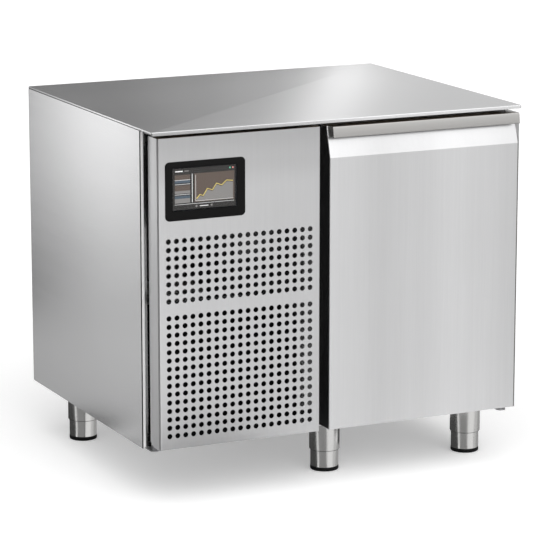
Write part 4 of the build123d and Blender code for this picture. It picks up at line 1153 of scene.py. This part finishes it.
def finned(name, pitch, finish, plate_finish, tube_finish, rows):
    """A finned coil in place of a CAD node: fins, two end plates and the tubes that wind through them."""
    low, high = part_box(name)
    count = int((high.x - low.x - 2 * fin_margin) / pitch) + 1
    pack = grown(name + "_fins", fin_tree, fin_ids, {
        "Count": count, "Pitch": pitch,
        "Fin Size": (fin_gauge, high.y - low.y - 0.002, high.z - low.z - 0.004), "Finish": finish,
    })
    middle = (low + high) / 2
    pack.data.transform(Matrix.Translation((middle.x - pitch * (count - 1) / 2, middle.y, middle.z)))
    pieces = [pack]
    ends = (low.x + fin_margin - plate_gap, high.x - fin_margin + plate_gap)
    for tag, x, inward in (("left", ends[0], 1), ("right", ends[1], -1)):
        flange = x - inward * plate_flange
        pieces.append(bent_sheet(
            "%s_plate_%s" % (name, tag), [(flange, low.y), (x, low.y), (x, high.y), (flange, high.y)],
            inward * plate_gauge, plate_bend, (low.z, high.z), "Z", plate_finish, "coil_fins",
        ))
    row_pitch = (high.z - low.z) / rows
    path = tube_path(ends, low.z, row_pitch, rows)
    for depth in (0.27, 0.73):
        loops = tube_loops(path, low.y + (high.y - low.y) * depth, row_pitch / 2 * tube_share)
        tube = new_piece("%s_tube_%d" % (name, depth * 100), *skinned(loops), tube_finish, "coil_fins", 1.2)
        face_out(tube)
        pieces.append(tube)
    for piece in pieces:
        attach(piece, "cabinet")
        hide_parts(name)


copper = brushed_steel("copper_tube", "X", colour=(0.52, 0.27, 0.17), rough=0.32)
finned("air_coil", 0.006, fin_aluminium, galvanised, copper, 4)
dress(brushed_steel("rod_steel", "X", colour=(0.30, 0.28, 0.26), rough=0.4), "heater_rods")

# Machine section: the refrigerating unit on its tray between two rails, with condenser, fan and compressor
# on rubber mounts. Tray, rails and condenser are enamelled near black: partly their own paint and partly
# painted shade, so that they look dark through the holes.


def enamelled(name, colour, rough=0.38, shine=0.5):
    """Stoved enamel on pressed steel, with a slight orange-peel."""
    finish, tree, shader = new_finish(name)
    peel = surface_noise(tree, (420.0,) * 3, 2.0)
    clouds = surface_noise(tree, (14.0,) * 3, 3.0)
    feed(tree, shader, {
        "Base Color": tinted(tree, colour, spread_over(tree, clouds, 0.9, 1.1)), "Specular IOR Level": shine,
        "Roughness": spread_over(tree, clouds, rough - 0.06, rough + 0.06),
        "Normal": bumped(tree, peel, 0.2, 0.0003),
    })
    return finish


black_enamel = enamelled("black_enamel", (0.010, 0.010, 0.011), shine=0.3)
dress(black_enamel, "condenser_fan_motor", "air_fan_motor")
dress(enamelled("rail_enamel", (0.004, 0.004, 0.0045), 0.6, 0.08), "top_rail", "bottom_rail", "unit_tray")
dress(black_plastic, "condenser_fan_blades", "air_fan_blades")
dress(moulded("mount_rubber", (0.016, 0.016, 0.016), rough=0.7), "compressor_mounts")
finned("condenser_coil", 0.004, black_enamel, black_enamel, black_enamel, 12)

# Compressor: two deep-drawn shells welded round their seam, on a pressed foot plate, with the cover of its
# terminals clipped on its side. It stands on four rubber mounts.
shell_radius = 0.0722
seam_radius = 0.0760
seam_height = 0.008
seam_ease = 0.001
shell_round = 0.020
dome_height = 0.050
foot_gauge = 0.0015
foot_half = 0.0738


def lower_round(radius, foot, bend, steps=6):
    """Radii and heights of the round at the foot of a turned shell."""
    turns = [-pi / 2 * (1 - i / steps) for i in range(steps + 1)]
    return [(radius - bend + bend * cos(t), foot + bend + bend * sin(t)) for t in turns]


def rounded_box(name, x, y, z, corner, edge, finish, slot_name):
    """A closed box with round upright corners and eased edges at top and bottom."""
    loops = [rounded_loop(narrowed(x, inset), narrowed(y, inset), level, corner - inset)
             for inset, level in ((edge, z[0]), (0.0, z[0] + edge), (0.0, z[1] - edge),
                                  (edge * 0.3, z[1] - edge * 0.3), (edge, z[1]))]
    return new_piece(name, *skinned(loops), finish, slot_name)


low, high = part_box("compressor")
centre = (low.x + seam_radius, (low.y + high.y) / 2)
foot = low.z + foot_gauge
seam = foot + 0.0756
seam_top = seam + seam_height
dome = high.z - dome_height
shell = turned("compressor_shell", centre, (
    [(0.030, foot)] + lower_round(shell_radius, foot, shell_round)
    + [(shell_radius, seam), (seam_radius - seam_ease, seam), (seam_radius, seam + seam_ease),
       (seam_radius, seam_top - seam_ease), (seam_radius - seam_ease, seam_top), (shell_radius, seam_top)]
    + [(shell_radius, dome)]
    + [(shell_radius * cos(t * pi / 20) ** 0.75, dome + dome_height * sin(t * pi / 20)) for t in range(1, 10)]
    + [(0.006, high.z)]
), black_enamel, "black_metal")
plate = rounded_box("compressor_foot", narrowed((centre[0], centre[0]), -foot_half),
                    narrowed((low.y, high.y), 0.002), (low.z, foot), 0.012, 0.0006,
                    black_enamel, "black_metal")
cover = rounded_box("compressor_terminals", (centre[0] + 0.050, high.x),
                    narrowed((centre[1], centre[1]), -0.030), (foot + 0.055, foot + 0.125), 0.008, 0.003,
                    black_plastic, "black_metal")
for piece in (shell, plate, cover):
    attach(piece, "cabinet")
    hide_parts("compressor")

# Liquid receiver: a welded steel bottle with dished ends, enamelled black. It stands on the unit's tray and
# stores the refrigerant that the condenser has made liquid.
bottle_radius = 0.034
bottle_round = 0.014
bottle_dish = 0.016
low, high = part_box("liquid_receiver")
shoulder = high.z - bottle_dish
bottle = turned("receiver_bottle", (low.x + bottle_radius, low.y + bottle_radius), (
    [(0.012, low.z)] + lower_round(bottle_radius, low.z, bottle_round, 5) + [(bottle_radius, shoulder)]
    + [(bottle_radius * cos(t * pi / 16), shoulder + bottle_dish * sin(t * pi / 16)) for t in range(1, 8)]
), black_enamel, "black_metal")
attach(bottle, "cabinet")
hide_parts("liquid_receiver")

# Steam generator and box of electrics: a light enamelled tank with an overhanging lid, and a grey moulded box
# on the divider with a lipped lid on its left. Both lids are held by screws.
tank_inset = 0.005
lid_height = 0.008
lid_overlap = 0.002
shell_white = enamelled("generator_shell", (0.60, 0.60, 0.58))
low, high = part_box("steam_generator")
tank = rounded_box("generator_tank", narrowed((low.x, high.x), tank_inset),
                   narrowed((low.y, high.y), tank_inset), (low.z, high.z - lid_height + lid_overlap),
                   0.010, 0.001, shell_white, "grey_plastic")
lid = rounded_box("generator_lid", (low.x, high.x), (low.y, high.y), (high.z - lid_height, high.z),
                  0.012, 0.002, shell_white, "grey_plastic")
for piece in (tank, lid):
    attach(piece, "cabinet")
    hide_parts("steam_generator")
low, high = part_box("electrical_box")
case = rounded_box("electrics_case", (low.x + 0.003, high.x), (low.y + 0.0042, high.y - 0.0038),
                   narrowed((low.z, high.z), 0.004), 0.003, 0.002, grey_plastic, "grey_plastic")
lid = rounded_box("electrics_lid", (low.x, low.x + 0.010), (low.y, high.y), (low.z, high.z), 0.003, 0.002,
                  grey_plastic, "grey_plastic")
for piece in (case, lid):
    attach(piece, "cabinet")
    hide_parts("electrical_box")

# Screws: low pan heads with a round socket, zinc plated, in the rear grille, the lids and the compressor's
# foot plate.
screw_sides = 12
screw_profile = ((0.0038, 0.0), (0.0038, 0.0004), (0.0030, 0.0010), (0.0016, 0.0010), (0.0015, 0.0003))
zinc = brushed_steel("zinc_plate", "Z", colour=(0.50, 0.50, 0.49), rough=0.30)
screw_tree, given, screw_ids = tree_of(
    "screw_heads", ("Places", "Geometry", None), ("Head", "Object", None), ("Finish", "Material", None),
)
head_shape = wired(screw_tree, "GeometryNodeObjectInfo", {"Object": given["Head"]})
heads = wired(screw_tree, "GeometryNodeInstanceOnPoints",
              {"Points": given["Places"], "Instance": head_shape.outputs["Geometry"]})
made_real(screw_tree, given, heads.outputs["Instances"])


def screws(name, spots, facing):
    """Screw heads at some spots, all facing one way."""
    turns = [2 * pi * i / screw_sides for i in range(screw_sides)]
    rings = [[(radius * cos(turn), radius * sin(turn), level) for turn in turns]
             for radius, level in screw_profile]
    mesh = bpy.data.meshes.new(name + "_head")
    vertices, faces = skinned(rings)
    turned_over = Vector((0.0, 0.0, 1.0)).rotation_difference(Vector(facing)).to_matrix()
    mesh.from_pydata([tuple(turned_over @ Vector(v)) for v in vertices], [], faces)
    head = placed(name + "_head", mesh)
    piece = grown(name, screw_tree, screw_ids, {"Head": head, "Finish": zinc}, vertices=spots)
    bpy.data.objects.remove(head)
    bpy.data.meshes.remove(mesh)
    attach(piece, "cabinet")


low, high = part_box("rear_grille")
spots = [(x, z) for x in (-0.420, -0.309, -0.198, -0.088) for z in (0.136, 0.818)]
spots += [(x, 0.478) for x in (-0.420, -0.088)]
screws("grille_screws", [(x, high.y, z) for x, z in spots], (0, 1, 0))
low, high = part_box("electrical_box")
screws("lid_screws", [(low.x, y, z) for y in narrowed((low.y, high.y), 0.012)
                      for z in narrowed((low.z, high.z), 0.012)], (-1, 0, 0))
low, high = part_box("steam_generator")
screws("tank_screws", [(x, y, high.z) for x in (low.x + 0.010, (low.x + high.x) / 2, high.x - 0.010)
                       for y in narrowed((low.y, high.y), 0.010)], (0, 0, 1))
low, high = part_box("compressor_mounts")
screws("foot_nuts", [(x, y, foot) for x in narrowed((low.x, high.x), 0.009)
                     for y in narrowed((low.y, high.y), 0.009)], (0, 0, 1))

low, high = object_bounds()
